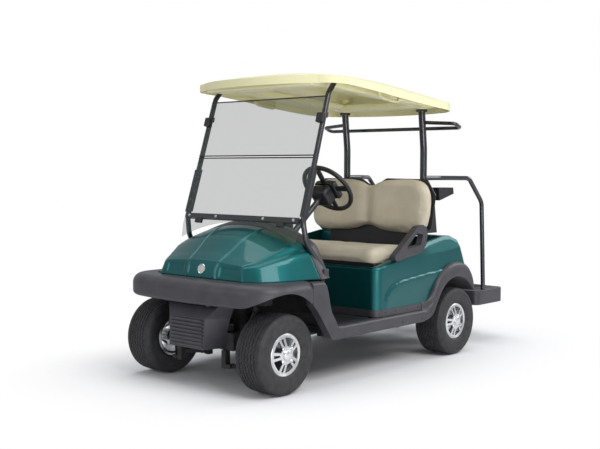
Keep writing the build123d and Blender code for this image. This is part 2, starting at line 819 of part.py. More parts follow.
def toe_board_x(z):
    """X just behind the steep part of the toe board at height z."""
    (low_x, low), (high_x, high) = toe_points[1:]
    share = (z - pan_z - floor_thickness / 2 - low) / (high - low)
    return low_x + share * (high_x - low_x) - floor_thickness / 2 - 2 * fit


pedal_rows = [
    # y of the pad, pad width, pad height, z of the pad's middle
    (150.0, 90.0, 70.0, 470.0),
    (300.0, 60.0, 120.0, 455.0),
]
with BuildPart() as pedals:
    for y, width, height, z in pedal_rows:
        pad_plane = Plane(origin=(F(-415), y, z), x_dir=(0, 1, 0), z_dir=(-0.8, 0, 0.6))
        with BuildSketch(pad_plane):
            RectangleRounded(width, height, 8)
        extrude(amount=10)
        # arm from the back of the pad to the toe board
        with BuildSketch(Plane.XZ.offset(-y)):
            Polygon(
                (F(-421), z - 12),
                (F(-417), z + 12),
                (toe_board_x(z + 12), z + 12),
                (toe_board_x(z - 12), z - 12),
                align=None,
            )
        extrude(amount=10, both=True)
pedals.part.label = "pedals"
export_step(pedals.part, "parts/pedals.step")

# ---------------------------------------------------------------- sills and rear flares
sill_outer = fender_half_width
sill_inner = floor_half_width + fit
sill_bottom = 272.0
flare_seam_x = R(398)
sill_edge_radius = 22.0


def is_upper(edge):
    """Edges of the guard's rear outline and the sill top, not those of the arch."""
    middle = edge @ 0.5
    on_guard = middle.X < F(-300) and middle.Z > floor_top - 1
    return on_guard or middle.Z > hood_z - 30


with BuildPart() as rockers:
    seam_x = fender_rear_x - 2
    reach = (front_arch_centre[0] - seam_x) / front_arch_length
    seam_z = front_arch_centre[1] + front_arch_height * math.sqrt(1 - reach**2)
    seam_slope = front_arch_height / front_arch_length * reach / math.sqrt(1 - reach**2)
    for side in (1, -1):
        with BuildPart(mode=Mode.PRIVATE) as sill:
            with BuildSketch(Plane.XZ.offset(-side * sill_outer)):
                with BuildLine():
                    Polyline((seam_x, seam_z), (seam_x, hood_z - 6), (F(-262), hood_z - 8))
                    guard = Spline(
                        (F(-262), hood_z - 8),
                        (F(-312), 566.0),
                        (F(-331), 494.0),
                        (F(-360), 418.0),
                        (F(-395), 366.0),
                        (F(-450), floor_top),
                        tangents=((-1, -0.1), (-1, 0)),
                    )
                    Polyline(
                        guard @ 1,
                        (flare_seam_x + fit, floor_top),
                        (flare_seam_x + fit, sill_bottom),
                        (F(-352), sill_bottom),
                    )
                    # the rear half of the front wheel arch
                    Spline(
                        (F(-352), sill_bottom),
                        (F(-322), 299.0),
                        (F(-276), 362.0),
                        (F(-233), 422.0),
                        (seam_x, seam_z),
                        tangents=((1, 0.25), (1, seam_slope)),
                    )
                make_face()
            extrude(amount=side * (sill_outer - sill_inner))
            outer_face = sill.faces().sort_by(Axis.Y)[-1 if side > 0 else 0]
            fillet([edge for edge in outer_face.edges() if is_upper(edge)], sill_edge_radius)
        add(sill.part)
rockers.part.label = "rockers"
export_step(rockers.part, "parts/rockers.step")

body_half_width = 575.0
flare_outer = 612.0
rear_arch_centre = (R(20), 285.0)
rear_arch_radius = 250.0
liner_thickness = 5.0
liner_inner_y = 365.0
trim_top = 390.0
trim_bottom = floor_top + 2

with BuildPart() as rear_flares:
    cx, cz = rear_arch_centre
    lip_z = 463.0  # where the arch turns into the sweep down to the sill
    lip = (cx + math.sqrt(rear_arch_radius**2 - (lip_z - cz) ** 2), lip_z)
    tail = (R(-222), 425.0)
    inner_tail = (cx - math.sqrt(rear_arch_radius**2 - (tail[1] - cz) ** 2), tail[1])
    for side in (1, -1):
        with BuildPart(mode=Mode.PRIVATE) as flare:
            with BuildSketch(Plane.XZ.offset(-side * flare_outer)):
                with BuildLine():
                    upper = Spline(
                        (flare_seam_x, trim_top + 2),
                        (R(352), 397.0),
                        (R(308), 425.0),
                        (R(250), 510.0),
                        (R(160), 588.0),
                        (R(62), 629.0),
                        (R(-70), 628.0),
                        (R(-152), 598.0),
                        tangents=((-1, 0), (-1, -0.7)),
                    )
                    Polyline(upper @ 1, tail, inner_tail)
                    ThreePointArc(inner_tail, (cx, cz + rear_arch_radius), lip)
                    sweep_down = Spline(
                        lip,
                        (R(262), 370.0),
                        (R(312), 292.0),
                        (flare_seam_x, 272.0),
                        tangents=((lip_z - cz, cx - lip[0]), (1, 0)),
                    )
                    Line(sweep_down @ 1, upper @ 0)
                make_face()
            extrude(amount=side * (flare_outer - body_half_width - fit))
            # wheel house behind the flare
            with BuildSketch(Plane.XZ.offset(-side * liner_inner_y)):
                with Locations(rear_arch_centre):
                    Circle(rear_arch_radius + liner_thickness)
                    Circle(rear_arch_radius, mode=Mode.SUBTRACT)
                with Locations((cx, cz + 10 - rear_arch_radius)):
                    Rectangle(3 * rear_arch_radius, 2 * rear_arch_radius, mode=Mode.SUBTRACT)
                with Locations((cx - rear_arch_radius, cz)):
                    Rectangle(2 * rear_arch_radius, 2 * (tail[1] - cz), mode=Mode.SUBTRACT)
            extrude(amount=-side * (flare_outer - 20 - liner_inner_y))
        add(flare.part)
rear_flares.part.label = "rear_flares"
export_step(rear_flares.part, "parts/rear_flares.step")

# ---------------------------------------------------------------- rear body
seat_deck_z = 650.0
back_deck_z = 690.0
body_rear_x = R(-122)
body_corner_radius = 60.0
body_wall = 5.0
rim_radius = 26.0
pocket_half_width = 530.0  # the seat sits between the raised sides
seat_rear_x = R(378)
bay_half_width = 460.0
well_half_width = 300.0
hinge_x = R(400)
hinge_z = 697.0
hinge_pin_radius = 5.0


def body_block(inset):
    """The rear body's outside, or with an inset the room inside its walls."""
    drop = 20 if inset else 0
    x_front, x_rear = seat_box_front - inset, body_rear_x + inset
    with BuildPart(mode=Mode.PRIVATE) as block:
        with BuildSketch(Plane.XZ):
            Polygon(
                (x_front, trim_top - drop),
                (x_front, seat_deck_z + 2 - inset),
                (R(425), 741.0 - inset),
                (R(290), 780.0 - inset),
                (R(110), 808.0 - inset),
                (R(25), 810.0 - inset),
                (R(-62) + inset, 778.0 - inset),
                (R(-102) + inset, 695.0),
                (x_rear, 600.0),
                (x_rear, trim_top - drop),
                align=None,
            )
        extrude(amount=body_half_width - inset, both=True)
        front_corners = block.edges().filter_by(Axis.Z).group_by(Axis.X)[-1]
        fillet(front_corners, body_corner_radius - inset)
        rims = [
            edge
            for edge in block.edges()
            if abs(abs((edge @ 0.5).Y) - body_half_width + inset) < 1
            and (edge @ 0.5).Z > seat_deck_z + 20
        ]
        fillet(rims, rim_radius - inset)
    return block.part


with BuildPart() as rear_body:
    add(body_block(0))
    add(body_block(body_wall), mode=Mode.SUBTRACT)
    # seat recess, back deck and the step behind it
    recess = [
        (seat_box_front - 2, seat_deck_z),
        (seat_rear_x, seat_deck_z),
        (seat_rear_x, back_deck_z),
        (R(112), back_deck_z),
        (R(92), 800.0),
    ]
    with BuildSketch(Plane.XZ):
        Polygon(*[(x, z - body_wall) for x, z in recess], (R(92), 806.0), (seat_box_front - 2, 652.0), align=None)
    extrude(amount=pocket_half_width + body_wall, both=True)
    with BuildSketch(Plane.XZ):
        Polygon(
            (seat_box_front + 10, seat_deck_z),
            *recess[1:],
            (R(92), 1000.0),
            (seat_box_front + 10, 1000.0),
            align=None,
        )
    extrude(amount=pocket_half_width, both=True, mode=Mode.SUBTRACT)
    # battery bay
    bay_front, bay_rear = R(828), seat_rear_x + 22
    with BuildSketch(Plane.XY.offset(seat_deck_z - 20)):
        with Locations(((bay_front + bay_rear) / 2, 0)):
            RectangleRounded(bay_front - bay_rear, 2 * bay_half_width, 30)
    extrude(amount=40, mode=Mode.SUBTRACT)
    # bag well, open to the rear
    with BuildSketch(Plane.XY.offset(trim_top - 20)):
        with Locations((R(-200), 0)):
            Rectangle(400, 2 * well_half_width)
    extrude(amount=600, mode=Mode.SUBTRACT)
    # rear wheel arches
    with BuildSketch(Plane.XZ):
        with Locations(rear_arch_centre):
            Circle(rear_arch_radius + 12)
    extrude(amount=body_half_width + 20, both=True, mode=Mode.SUBTRACT)
    # roof posts
    with BuildSketch(Plane.XY.offset(600)):
        with Locations((post_x, post_y), (post_x, -post_y)):
            Circle(post_radius + 1.5)
    extrude(amount=400, mode=Mode.SUBTRACT)
    # hinge pin holes
    with BuildSketch(axle_plane(0, hinge_x, hinge_z)):
        Circle(hinge_pin_radius + pin_gap)
    extrude(amount=pocket_half_width + body_wall, both=True, mode=Mode.SUBTRACT)
rear_body.part.label = "rear_body"
export_step(rear_body.part, "parts/rear_body.step")

trim_proud = 3.0
trim_thickness = 8.0

with BuildPart() as base_trim:
    trim_rear = flare_seam_x + 2
    with BuildSketch(Plane.XY.offset(trim_bottom)):
        for reach, end, mode in (
            (trim_proud, trim_rear, Mode.ADD),
            (trim_proud - trim_thickness, trim_rear - 1, Mode.SUBTRACT),
        ):
            half = body_half_width + reach
            front = seat_box_front + reach
            corners = [(end, half), (front, half), (front, -half), (end, -half)]
            with BuildLine():
                FilletPolyline(*corners, radius=body_corner_radius + reach)
                Line(corners[0], corners[-1])
            make_face(mode=mode)
    extrude(amount=trim_top - fit - trim_bottom)
base_trim.part.label = "base_trim"
export_step(base_trim.part, "parts/base_trim.step")

# ---------------------------------------------------------------- bag well, step and handles
well_floor_z = rear_rail_top + fit
well_rear_x = R(-360)
well_wall = 4.0

with BuildPart() as bag_well:
    half = well_half_width - 2
    with BuildSketch(Plane.XZ):
        well_side = [
            (R(0), well_floor_z),
            (R(0), 770.0),
            (R(-110), 700.0),
            (well_rear_x, 560.0),
            (well_rear_x, well_floor_z),
        ]
        Polygon(*well_side, align=None)
    extrude(amount=half, both=True)
    with BuildSketch(Plane.XZ):
        Polygon(
            (R(0) - well_wall, well_floor_z + well_wall),
            (R(0) - well_wall, 800.0),
            (well_rear_x - 20, 800.0),
            (well_rear_x - 20, well_floor_z + well_wall),
            align=None,
        )
    extrude(amount=half - well_wall, both=True, mode=Mode.SUBTRACT)
bag_well.part.label = "bag_well"
export_step(bag_well.part, "parts/bag_well.step")

step_half_width = 480.0
step_depth = 372.0
step_rear_x = R(-rear_overhang)
step_height = 105.0
step_tread = 3.0
handle_y = 450.0

with BuildPart() as rear_step:
    step_middle = step_rear_x + step_depth / 2
    with BuildSketch(Plane.XY.offset(step_top - step_height)):
        with Locations((step_middle, 0)):
            RectangleRounded(step_depth, 2 * step_half_width, 45)
    extrude(amount=step_height)
    fillet(rear_step.faces().sort_by(Axis.Z)[-1].edges(), 8)
    # raised tread between the handles
    with BuildSketch(Plane.XY.offset(step_top)):
        with Locations((step_middle, 0)):
            RectangleRounded(step_depth - 70, 2 * (handle_y - 45), 25)
    extrude(amount=step_tread)
    with BuildSketch(Plane.XY.offset(step_top - step_height)):
        with Locations((step_middle, 0)):
            RectangleRounded(step_depth - 2 * step_skin, 2 * (step_half_width - step_skin), 35)
    extrude(amount=step_height - step_skin, mode=Mode.SUBTRACT)
    # notches where the frame's arms come in
    with BuildSketch(Plane.YZ.offset(step_middle)):
        for side in (1, -1):
            with Locations((side * rail_y, step_top - step_skin - step_arm_size / 2 - 2)):
                Rectangle(step_arm_size + 4, step_arm_size + 4)
    extrude(amount=step_depth, mode=Mode.SUBTRACT)
rear_step.part.label = "rear_step"
export_step(rear_step.part, "parts/rear_step.step")

handle_radius = 16.0
handle_z = 1198.0

with BuildPart() as step_handle:
    for side in (1, -1):
        route = [
            (post_x, side * (post_y + 2), handle_z),
            (R(-150), side * (post_y + 8), handle_z),
            (R(-370), side * handle_y, handle_z - 2),
            (R(-548), side * handle_y, 1020.0),
            (R(-582), side * handle_y, 430.0),
            (R(-582), side * handle_y, step_top + fit),
        ]
        add(bent_tube(route, (150, 60, 80, 40), handle_radius))
        with BuildSketch(Plane.XY.offset(1100)):
            with Locations((post_x, side * post_y)):
                Circle(post_radius + fit)
        extrude(amount=200, mode=Mode.SUBTRACT)
step_handle.part.label = "step_handle"
export_step(step_handle.part, "parts/step_handle.step")

# ---------------------------------------------------------------- roof posts, bars and bag rest
post_top = 1655.0
post_cup_radius = 38.0
post_cup_height = 12.0



def rear_post(side, radius):
    y = side * post_y
    points = [
        (post_x, y, post_bar_top + fit),
        (post_x, y, 1400.0),
        (post_x + 28, y, post_top),
    ]
    return bent_tube(points, 500, radius)


with BuildPart() as rear_posts:
    for side in (1, -1):
        y = side * post_y
        add(rear_post(side, post_radius))
        with BuildSketch(Plane.XY.offset(post_top - 6)):
            with Locations((post_x + 28, y)):
                Circle(post_cup_radius)
        extrude(amount=post_cup_height + 6)
        # gusset plates behind the posts, from the deck up
        with BuildSketch(Plane.XZ.offset(-side * (post_y + 24))):
            Polygon(
                (post_x + 10, 816.0),
                (post_x + 10, 1128.0),
                (R(-61), 1100.0),
                (R(-104), 816.0),
                align=None,
            )
        extrude(amount=side * 44)
rear_posts.part.label = "rear_posts"
export_step(rear_posts.part, "parts/rear_posts.step")

bar_radius = 12.5
bar_tip_y = 572.0
with BuildPart() as overhead_bar:
    loop = [
        (post_x + 20, post_y, 1578.0),
        (R(10), bar_tip_y, 1566.0),
        (R(-62), bar_tip_y, 1540.0),
    ]
    add(
        bent_tube(
            [
                *loop,
                *[(x, -y, z) for x, y, z in reversed(loop)],
            ],
            30,
            bar_radius,
        )
    )
    for side in (1, -1):
        add(rear_post(side, post_radius + fit), mode=Mode.SUBTRACT)
overhead_bar.part.label = "overhead_bar"
export_step(overhead_bar.part, "parts/overhead_bar.step")

rest_half_width = 400.0
with BuildPart() as bag_rest:
    with BuildSketch(Plane.XZ):
        Polygon((R(-61.5), 1130), (R(-245), 1130), (R(-252), 1086), (R(-75), 1042), (R(-70.2), 1042), (R(-61.5), 1100), align=None)
    extrude(amount=rest_half_width, both=True)
    with BuildSketch(Plane.XY.offset(1030)):
        with Locations((R(-262), 190), (R(-262), -190)):
            Circle(112)
    extrude(amount=120, mode=Mode.SUBTRACT)
bag_rest.part.label = "bag_rest"
export_step(bag_rest.part, "parts/bag_rest.step")

# ---------------------------------------------------------------- seat
cushion_half_width = 500.0
cushion_front = R(815)
cushion_rear = R(409)
cushion_top = 765.0
pan_half_width = 520.0
pan_front = R(825)
pan_rear = R(399)
pan_thickness = 6.0
pan_rim_top = 674.0

with BuildPart() as seat_pan:
    with BuildSketch(Plane.XY.offset(seat_deck_z + fit)):
        with Locations(((pan_front + pan_rear) / 2, 0)):
            RectangleRounded(pan_front - pan_rear, 2 * pan_half_width, 20)
    extrude(amount=pan_rim_top - seat_deck_z - fit)
    with BuildSketch(Plane.XY.offset(seat_deck_z + fit + pan_thickness)):
        with Locations(((pan_front + pan_rear) / 2, 0)):
            RectangleRounded(pan_front - pan_rear - 12, 2 * pan_half_width - 12, 14)
    extrude(amount=pan_rim_top - seat_deck_z, mode=Mode.SUBTRACT)
    for side in (1, -1):
        with BuildSketch(outboard_plane(hinge_x, side * (pan_half_width - 6), hinge_z)):
            Circle(12)
        extrude(amount=6)
        with BuildSketch(Plane.XZ.offset(-side * pan_half_width)):
            with Locations((hinge_x + 16, (seat_deck_z + 8 + hinge_z) / 2)):
                Rectangle(56, hinge_z - seat_deck_z - 8)
        extrude(amount=side * 6)
        with BuildSketch(outboard_plane(hinge_x, side * (pan_half_width - 3), hinge_z)):
            Circle(hinge_pin_radius)
        extrude(amount=pocket_half_width - pan_half_width + 3 + body_wall)
seat_pan.part.label = "seat_pan"
export_step(seat_pan.part, "parts/seat_pan.step")

with BuildPart() as seat_cushion:
    with BuildSketch(Plane.XY.offset(seat_deck_z + 2 * fit + pan_thickness)):
        with Locations(((cushion_front + cushion_rear) / 2, 0)):
            RectangleRounded(cushion_front - cushion_rear, 2 * cushion_half_width, 40)
    extrude(amount=cushion_top - seat_deck_z - 2 * fit - pan_thickness)
    fillet(seat_cushion.faces().sort_by(Axis.Z)[-1].edges(), 32)
seat_cushion.part.label = "seat_cushion"
export_step(seat_cushion.part, "parts/seat_cushion.step")

back_front_x = R(248)
back_thickness = 72.0
back_recline = 6.0
back_half_outline = [
    # y, z of the right half, from the top dip round to the bottom dip
    (0, 1137.0),
    (110, 1196.0),
    (440, 1192.0),
    (514, 1090.0),
    (498, 880.0),
    (430, 830.0),
    (130, 834.0),
    (0, 880.0),
]
back_outline = back_half_outline + [(-y, z) for y, z in reversed(back_half_outline[1:-1])]
back_plane = Plane(
    origin=(back_front_x, 0, 1000.0),
    x_dir=(0, 1, 0),
    z_dir=(math.cos(math.radians(back_recline)), 0, math.sin(math.radians(back_recline))),
)

with BuildPart() as seat_back:
    with BuildSketch(back_plane) as outline:
        Polygon(*[(y, z - 1000) for y, z in back_outline], align=None)
        fillet(outline.vertices(), 24)
    extrude(amount=-back_thickness)
    fillet(seat_back.faces().sort_by(Axis.X)[-1].edges(), 20)
seat_back.part.label = "seat_back"
export_step(seat_back.part, "parts/seat_back.step")

shell_thickness = 8.0
support_half_width = 360.0

with BuildPart() as seat_back_shell:
    with BuildSketch(back_plane.offset(-back_thickness - fit)) as outline:
        Polygon(*[(y * 1.02, (z - 1000) * 1.04) for y, z in back_outline], align=None)
        fillet(outline.vertices(), 24)
    extrude(amount=-shell_thickness)
    # brackets to the roof posts, and the lower support down to the deck
    shell_back_x = back_front_x - back_thickness - shell_thickness
    with BuildSketch(Plane.XY.offset(1050)):
        for side in (1, -1):
            with Locations(((shell_back_x - 6 + post_x + post_radius + fit) / 2, side * post_y)):
                Rectangle(shell_back_x - 6 - post_x - post_radius - fit, 40)
    extrude(amount=50)
    with BuildSketch(back_plane.offset(-back_thickness - fit)):
        with Locations((0, -215)):
            Rectangle(2 * support_half_width, 230)
    extrude(amount=-shell_thickness)
    with BuildSketch(Plane.XZ):
        with Locations((R(286), back_deck_z + fit + 37)):
            Rectangle(34, 34)
        with Locations((R(240), back_deck_z + fit + 37)):
            Rectangle(80, 8)
    extrude(amount=435, both=True)
    with BuildSketch(Plane.XY.offset(back_deck_z + fit - 60)):
        with Locations((R(220), 0)):
            Rectangle(300, 1200)
    extrude(amount=60, mode=Mode.SUBTRACT)
seat_back_shell.part.label = "seat_back_shell"
export_step(seat_back_shell.part, "parts/seat_back_shell.step")

armrest_outline = [
    (R(746), 706.0),
    (R(708), 684.0),
    (R(438), 722.0),
    (R(394), 766.0),
    (R(374), 840.0),
    (R(386), 884.0),
    (R(428), 901.0),
    (R(486), 893.0),
]
armrest_hole = [(R(622), 752.0), (R(494), 850.0), (R(424), 838.0), (R(452), 772.0)]
armrest_thickness = 30.0
armrest_tuck = 12.0  # how far they reach in over the body's rim

with BuildPart() as armrests:
    for side in (1, -1):
        with BuildSketch(Plane.XZ.offset(-side * (body_half_width + fit + armrest_thickness))) as plate:
            Polygon(*armrest_outline, align=None)
            fillet(plate.vertices(), 18)
            with BuildSketch(mode=Mode.PRIVATE) as hole:
                Polygon(*armrest_hole, align=None)
                fillet(hole.vertices(), 11)
            add(hole.sketch, mode=Mode.SUBTRACT)
        extrude(amount=side * (armrest_thickness + armrest_tuck))
    # the inner faces follow the rounded rim of the body
    add(body_block(-fit), mode=Mode.SUBTRACT)
armrests.part.label = "armrests"
export_step(armrests.part, "parts/armrests.step")

# ---------------------------------------------------------------- windshield
glass_thickness = 5.0
glass_plane = Plane(
    origin=(crossbar_x, 0, crossbar_z),
    x_dir=(0, 1, 0),
    z_dir=Vector(1, 0, glass_rake).normalized(),
)
glass_offset = strut_tube_radius + fit
pane_half_low = 490.0
pane_half_high = 480.0
hinge_v = 386.0  # where the two panes meet, up the glass from the crossbar
glass_top_v = 757.0

with BuildPart() as windshield:
    with BuildSketch(glass_plane.offset(glass_offset)):
        with BuildLine():
            foot = ThreePointArc((-pane_half_low + 14, -138), (0, -26), (pane_half_low - 14, -138))
            Polyline(
                foot @ 1,
                (pane_half_low, -60),
                (pane_half_low - 5, hinge_v - 3),
                (-pane_half_low + 5, hinge_v - 3),
                (-pane_half_low, -60),
                foot @ 0,
            )
        make_face()
        Polygon(
            (-pane_half_low + 5, hinge_v + 3),
            (pane_half_low - 5, hinge_v + 3),
            (pane_half_high, glass_top_v),
            (-pane_half_high, glass_top_v),
            align=None,
        )
    extrude(amount=glass_thickness)
windshield.part.label = "windshield"
export_step(windshield.part, "parts/windshield.step")

strip_height = 30.0
strip_thickness = 8.0
sleeve_radius = 24.0
sleeve_spans = [(984.0, 1250.0), (1555.0, 1585.0)]

with BuildPart() as windshield_bar:
    bar_half = crossbar_y - strut_tube_radius - fit
    with BuildSketch(Plane.XZ):
        with Locations(Location((crossbar_x, crossbar_z), -17.5)):
            RectangleRounded(22, 30, 5)
    extrude(amount=bar_half, both=True)
    # clamp strip over the glass
    with BuildSketch(glass_plane.offset(glass_offset + glass_thickness + fit)):
        Rectangle(2 * (pane_half_low - 12), strip_height)
    extrude(amount=strip_thickness)
    # grip sleeves and glass clips round the struts, behind the glass
    for side in (1, -1):
        with BuildPart(mode=Mode.PRIVATE) as sleeves:
            for low, high in sleeve_spans:
                with BuildSketch(Plane.XY.offset(low)):
                    with Locations((crossbar_x - 100, side * crossbar_y)):
                        Rectangle(400, 100)
                extrude(amount=high - low)
            add(bent_tube(strut_route(side), strut_bends, sleeve_radius), mode=Mode.INTERSECT)
            add(bent_tube(strut_route(side), strut_bends, strut_tube_radius + fit), mode=Mode.SUBTRACT)
            with BuildSketch(glass_plane.offset(glass_offset - fit)):
                Rectangle(2000, 2000)
            extrude(amount=50, mode=Mode.SUBTRACT)
        add(sleeves.part)
windshield_bar.part.label = "windshield_bar"
export_step(windshield_bar.part, "parts/windshield_bar.step")

# ---------------------------------------------------------------- roof
roof_wall = 5.0
roof_half_width = 597.0
roof_stations = [
    # x, underside of the lip, top of the lip, crown
    (F(-228), 1752.0, 1782.0, 1798.0),
    (F(-550), 1742.0, 1776.0, 1846.0),
    (F(-930), 1706.0, 1742.0, 1862.0),
    (R(295), 1662.0, 1697.0, 1830.0),
    (R(-150), 1642.0, 1670.0, 1732.0),
]


def roof_section(station, inset):
    x, lip_low, lip_top, crown = station
    half = roof_half_width + 20 - inset
    low = lip_low - (60 if inset else 0)
    with BuildSketch(Plane.YZ.offset(x), mode=Mode.PRIVATE) as section:
        with BuildLine():
            Line((-half, low), (half, low))
            Line((half, low), (half, lip_top - inset))
            ThreePointArc((half, lip_top - inset), (0, crown - inset), (-half, lip_top - inset))
            Line((-half, lip_top - inset), (-half, low))
        make_face()
    return section.sketch


def roof_plan(inset):
    side = roof_half_width - inset
    with BuildSketch(Plane.XY.offset(1500), mode=Mode.PRIVATE) as plan:
        with BuildLine():
            Line((F(-470), side), (R(190), side))
            ThreePointArc((R(190), side), (R(20 + inset), 530 - inset), (R(-65 + inset), 380.0))
            ThreePointArc((R(-65 + inset), 380.0), (R(-140 + inset), 0), (R(-65 + inset), -380.0))
            ThreePointArc((R(-65 + inset), -380.0), (R(20 + inset), -530 + inset), (R(190), -side))
            Line((R(190), -side), (F(-470), -side))
            ThreePointArc((F(-470), -side), (F(-390 - inset), -565 + inset), (F(-345 - inset), -480.0))
            ThreePointArc((F(-345 - inset), -480.0), (F(-235 - inset), 0), (F(-345 - inset), 480.0))
            ThreePointArc((F(-345 - inset), 480.0), (F(-390 - inset), 565 - inset), (F(-470), side))
        make_face()
    return plan.sketch


def roof_block(inset):
    with BuildPart(mode=Mode.PRIVATE) as block:
        loft([roof_section(station, inset) for station in roof_stations])
        with BuildSketch(Plane.XY.offset(1500)):
            add(roof_plan(inset))
        extrude(amount=500, mode=Mode.INTERSECT)
    return block.part


with BuildPart() as roof:
    add(roof_block(0))
    add(roof_block(roof_wall), mode=Mode.SUBTRACT)
    # bosses over the rear posts
    boss_z = post_top + post_cup_height + fit
    with BuildPart(mode=Mode.PRIVATE) as boss:
        with BuildSketch(Plane.XY.offset(boss_z)):
            with Locations((post_x + 28, post_y), (post_x + 28, -post_y)):
                Circle(post_cup_radius)
        extrude(amount=200)
        # pads on the strut heads
        with BuildSketch(Plane.XY.offset(strut_top + fit)):
            with Locations((strut_head[0], strut_head[1]), (strut_head[0], -strut_head[1])):
                RectangleRounded(56, 40, 12)
        extrude(amount=200)
        add(roof_block(roof_wall / 2), mode=Mode.INTERSECT)
    add(boss.part)
roof.part.label = "roof"
export_step(roof.part, "parts/roof.step")
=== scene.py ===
# %% [markdown]
# # A two-seat golf cart with a roof, a windshield and a rear step
# This lesson dresses a finished CAD model of the cart, in metres, with X
# forward, Y to the cart's left and Z up. Where the real thing is soft or
# finely detailed, a new mesh stands in for the CAD shape.

# %% Load the cart
import contextlib
import math

import bmesh
import bpy
import numpy as np
from mathutils import Matrix, Vector


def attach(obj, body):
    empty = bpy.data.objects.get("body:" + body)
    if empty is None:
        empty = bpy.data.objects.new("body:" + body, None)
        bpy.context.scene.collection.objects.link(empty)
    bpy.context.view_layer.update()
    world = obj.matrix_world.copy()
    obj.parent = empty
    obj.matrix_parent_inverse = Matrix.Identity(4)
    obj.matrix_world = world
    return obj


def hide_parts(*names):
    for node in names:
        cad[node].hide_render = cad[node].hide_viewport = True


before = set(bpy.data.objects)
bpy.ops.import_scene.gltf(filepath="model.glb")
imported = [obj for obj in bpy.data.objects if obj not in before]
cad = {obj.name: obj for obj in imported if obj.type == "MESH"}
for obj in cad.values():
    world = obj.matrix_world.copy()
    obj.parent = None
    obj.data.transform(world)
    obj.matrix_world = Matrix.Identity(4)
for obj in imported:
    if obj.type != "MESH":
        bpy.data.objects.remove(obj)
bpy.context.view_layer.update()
scene = bpy.context.scene

# %% [markdown]
# These are the cart's main stations: its axles and its wheels' middles.

# %% Main sizes
MM = 0.001
SQUARE = ((-1, -1), (1, -1), (1, 1), (-1, 1))
FRONT_AXLE, REAR_AXLE = 1.112, -0.563
AXLE_HEIGHT = 0.2285
FRONT_WHEEL_Y, REAR_WHEEL_Y = 0.4665, 0.5005
WHEELS = {
    # corner of the cart: centre of its wheel
    f"{end}_{name}": Vector((x, side * y, AXLE_HEIGHT))
    for end, x, y in (("front", FRONT_AXLE, FRONT_WHEEL_Y), ("rear", REAR_AXLE, REAR_WHEEL_Y))
    for name, side in (("left", 1), ("right", -1))
}


def front_x(mm):
    """X of a point that many millimetres ahead of the front axle."""
    return FRONT_AXLE + mm * MM


def rear_x(mm):
    """X of a point that many millimetres ahead of the rear axle."""
    return REAR_AXLE + mm * MM


# %% [markdown]
# The camera stands ahead of the cart, to its left, at chest height, and
# looks a little down. Yaw, pitch and roll give its three axes.

# %% Camera
SENSOR_MM, LENS_MM = 36, 57.55
CAMERA_PLACE = (4.996, 4.086, 1.2531)
CAMERA_DEGREES = (221.4838, 3.2789, 0.1965)  # yaw, pitch down, roll
camera_data = bpy.data.cameras.new("Camera")
camera_data.sensor_width, camera_data.lens, camera_data.clip_end = SENSOR_MM, LENS_MM, 100
camera = bpy.data.objects.new("Camera", camera_data)
scene.collection.objects.link(camera)
yaw, pitch, roll = (math.radians(a) for a in CAMERA_DEGREES)
aim = Vector(
    (math.cos(yaw) * math.cos(pitch), math.sin(yaw) * math.cos(pitch), -math.sin(pitch))
)
level = aim.cross(Vector((0, 0, 1))).normalized()
upright = level.cross(aim)
right = math.cos(roll) * level + math.sin(roll) * upright
up = -math.sin(roll) * level + math.cos(roll) * upright
camera.matrix_world = Matrix.Translation(CAMERA_PLACE) @ Matrix(
    (right, up, -aim)
).transposed().to_4x4()
scene.camera = camera

# %% [markdown]
# The cart stands on pale paper in a studio, with a wide soft light high on
# the left and weaker ones round it. The world gives an even fill, and is
# white to the camera and through glass, but less so in reflections.


# %% Nodes and colours
def srgb(code):
    """Linear RGBA of a colour such as #2B2D35."""
    channels = (int(code[i : i + 2], 16) / 255 for i in (1, 3, 5))
    linear = (
        c / 12.92 if c <= 0.04045 else ((c + 0.055) / 1.055) ** 2.4 for c in channels
    )
    return (*linear, 1.0)


def add(tree, kind, settings=None, **inputs):
    """Adds a node. Its inputs are values, or nodes and sockets to link."""
    made = tree.nodes.new(f"ShaderNode{kind}")
    for name, value in (settings or {}).items():
        setattr(made, name, value)
    for name, value in inputs.items():
        socket = made.inputs[int(name[1:]) if name[0] == "_" else name.replace("_", " ")]
        if isinstance(value, bpy.types.Node):
            value = value.outputs[0]
        if isinstance(value, bpy.types.NodeSocket):
            tree.links.new(value, socket)
        else:
            socket.default_value = value
    return made


def compute(tree, operation, *values, kind="Math"):
    """A math node, or a vector math node, that works on those values."""
    inputs = {f"_{i}": value for i, value in enumerate(values)}
    return add(tree, kind, {"operation": operation}, **inputs)


def mesh_object(name, points, faces):
    """A new object in the scene with that mesh."""
    mesh = bpy.data.meshes.new(name)
    mesh.from_pydata([tuple(p) for p in points], [], [tuple(f) for f in faces])
    made = bpy.data.objects.new(name, mesh)
    scene.collection.objects.link(made)
    return made


def seen_share(tree, rays):
    """1 for rays from the camera and for rays that went through glass."""
    seen, through = rays.outputs["Is Camera Ray"], rays.outputs["Is Transmission Ray"]
    return compute(tree, "MAXIMUM", seen, through)


# %% Light
GLOSS_SHARE = 0.3  # how much of the white glossy reflections see
FILL_STRENGTH = 0.34
scene.view_settings.view_transform = "Standard"
world = bpy.data.worlds.new("Pale studio")
scene.world = world
world.use_nodes = True
tree = world.node_tree
tree.nodes.clear()
rays = add(tree, "LightPath")
gloss_share = compute(tree, "MULTIPLY", rays.outputs["Is Glossy Ray"], GLOSS_SHARE)
white_share = compute(tree, "MAXIMUM", seen_share(tree, rays), gloss_share)
fill = add(tree, "Background", Color=srgb("#F1F4FA"), Strength=FILL_STRENGTH)
white = add(tree, "Background", Color=(1, 1, 1, 1), Strength=1.0)
mixed = add(tree, "MixShader", _0=white_share, _1=fill, _2=white)
add(tree, "OutputWorld", Surface=mixed)

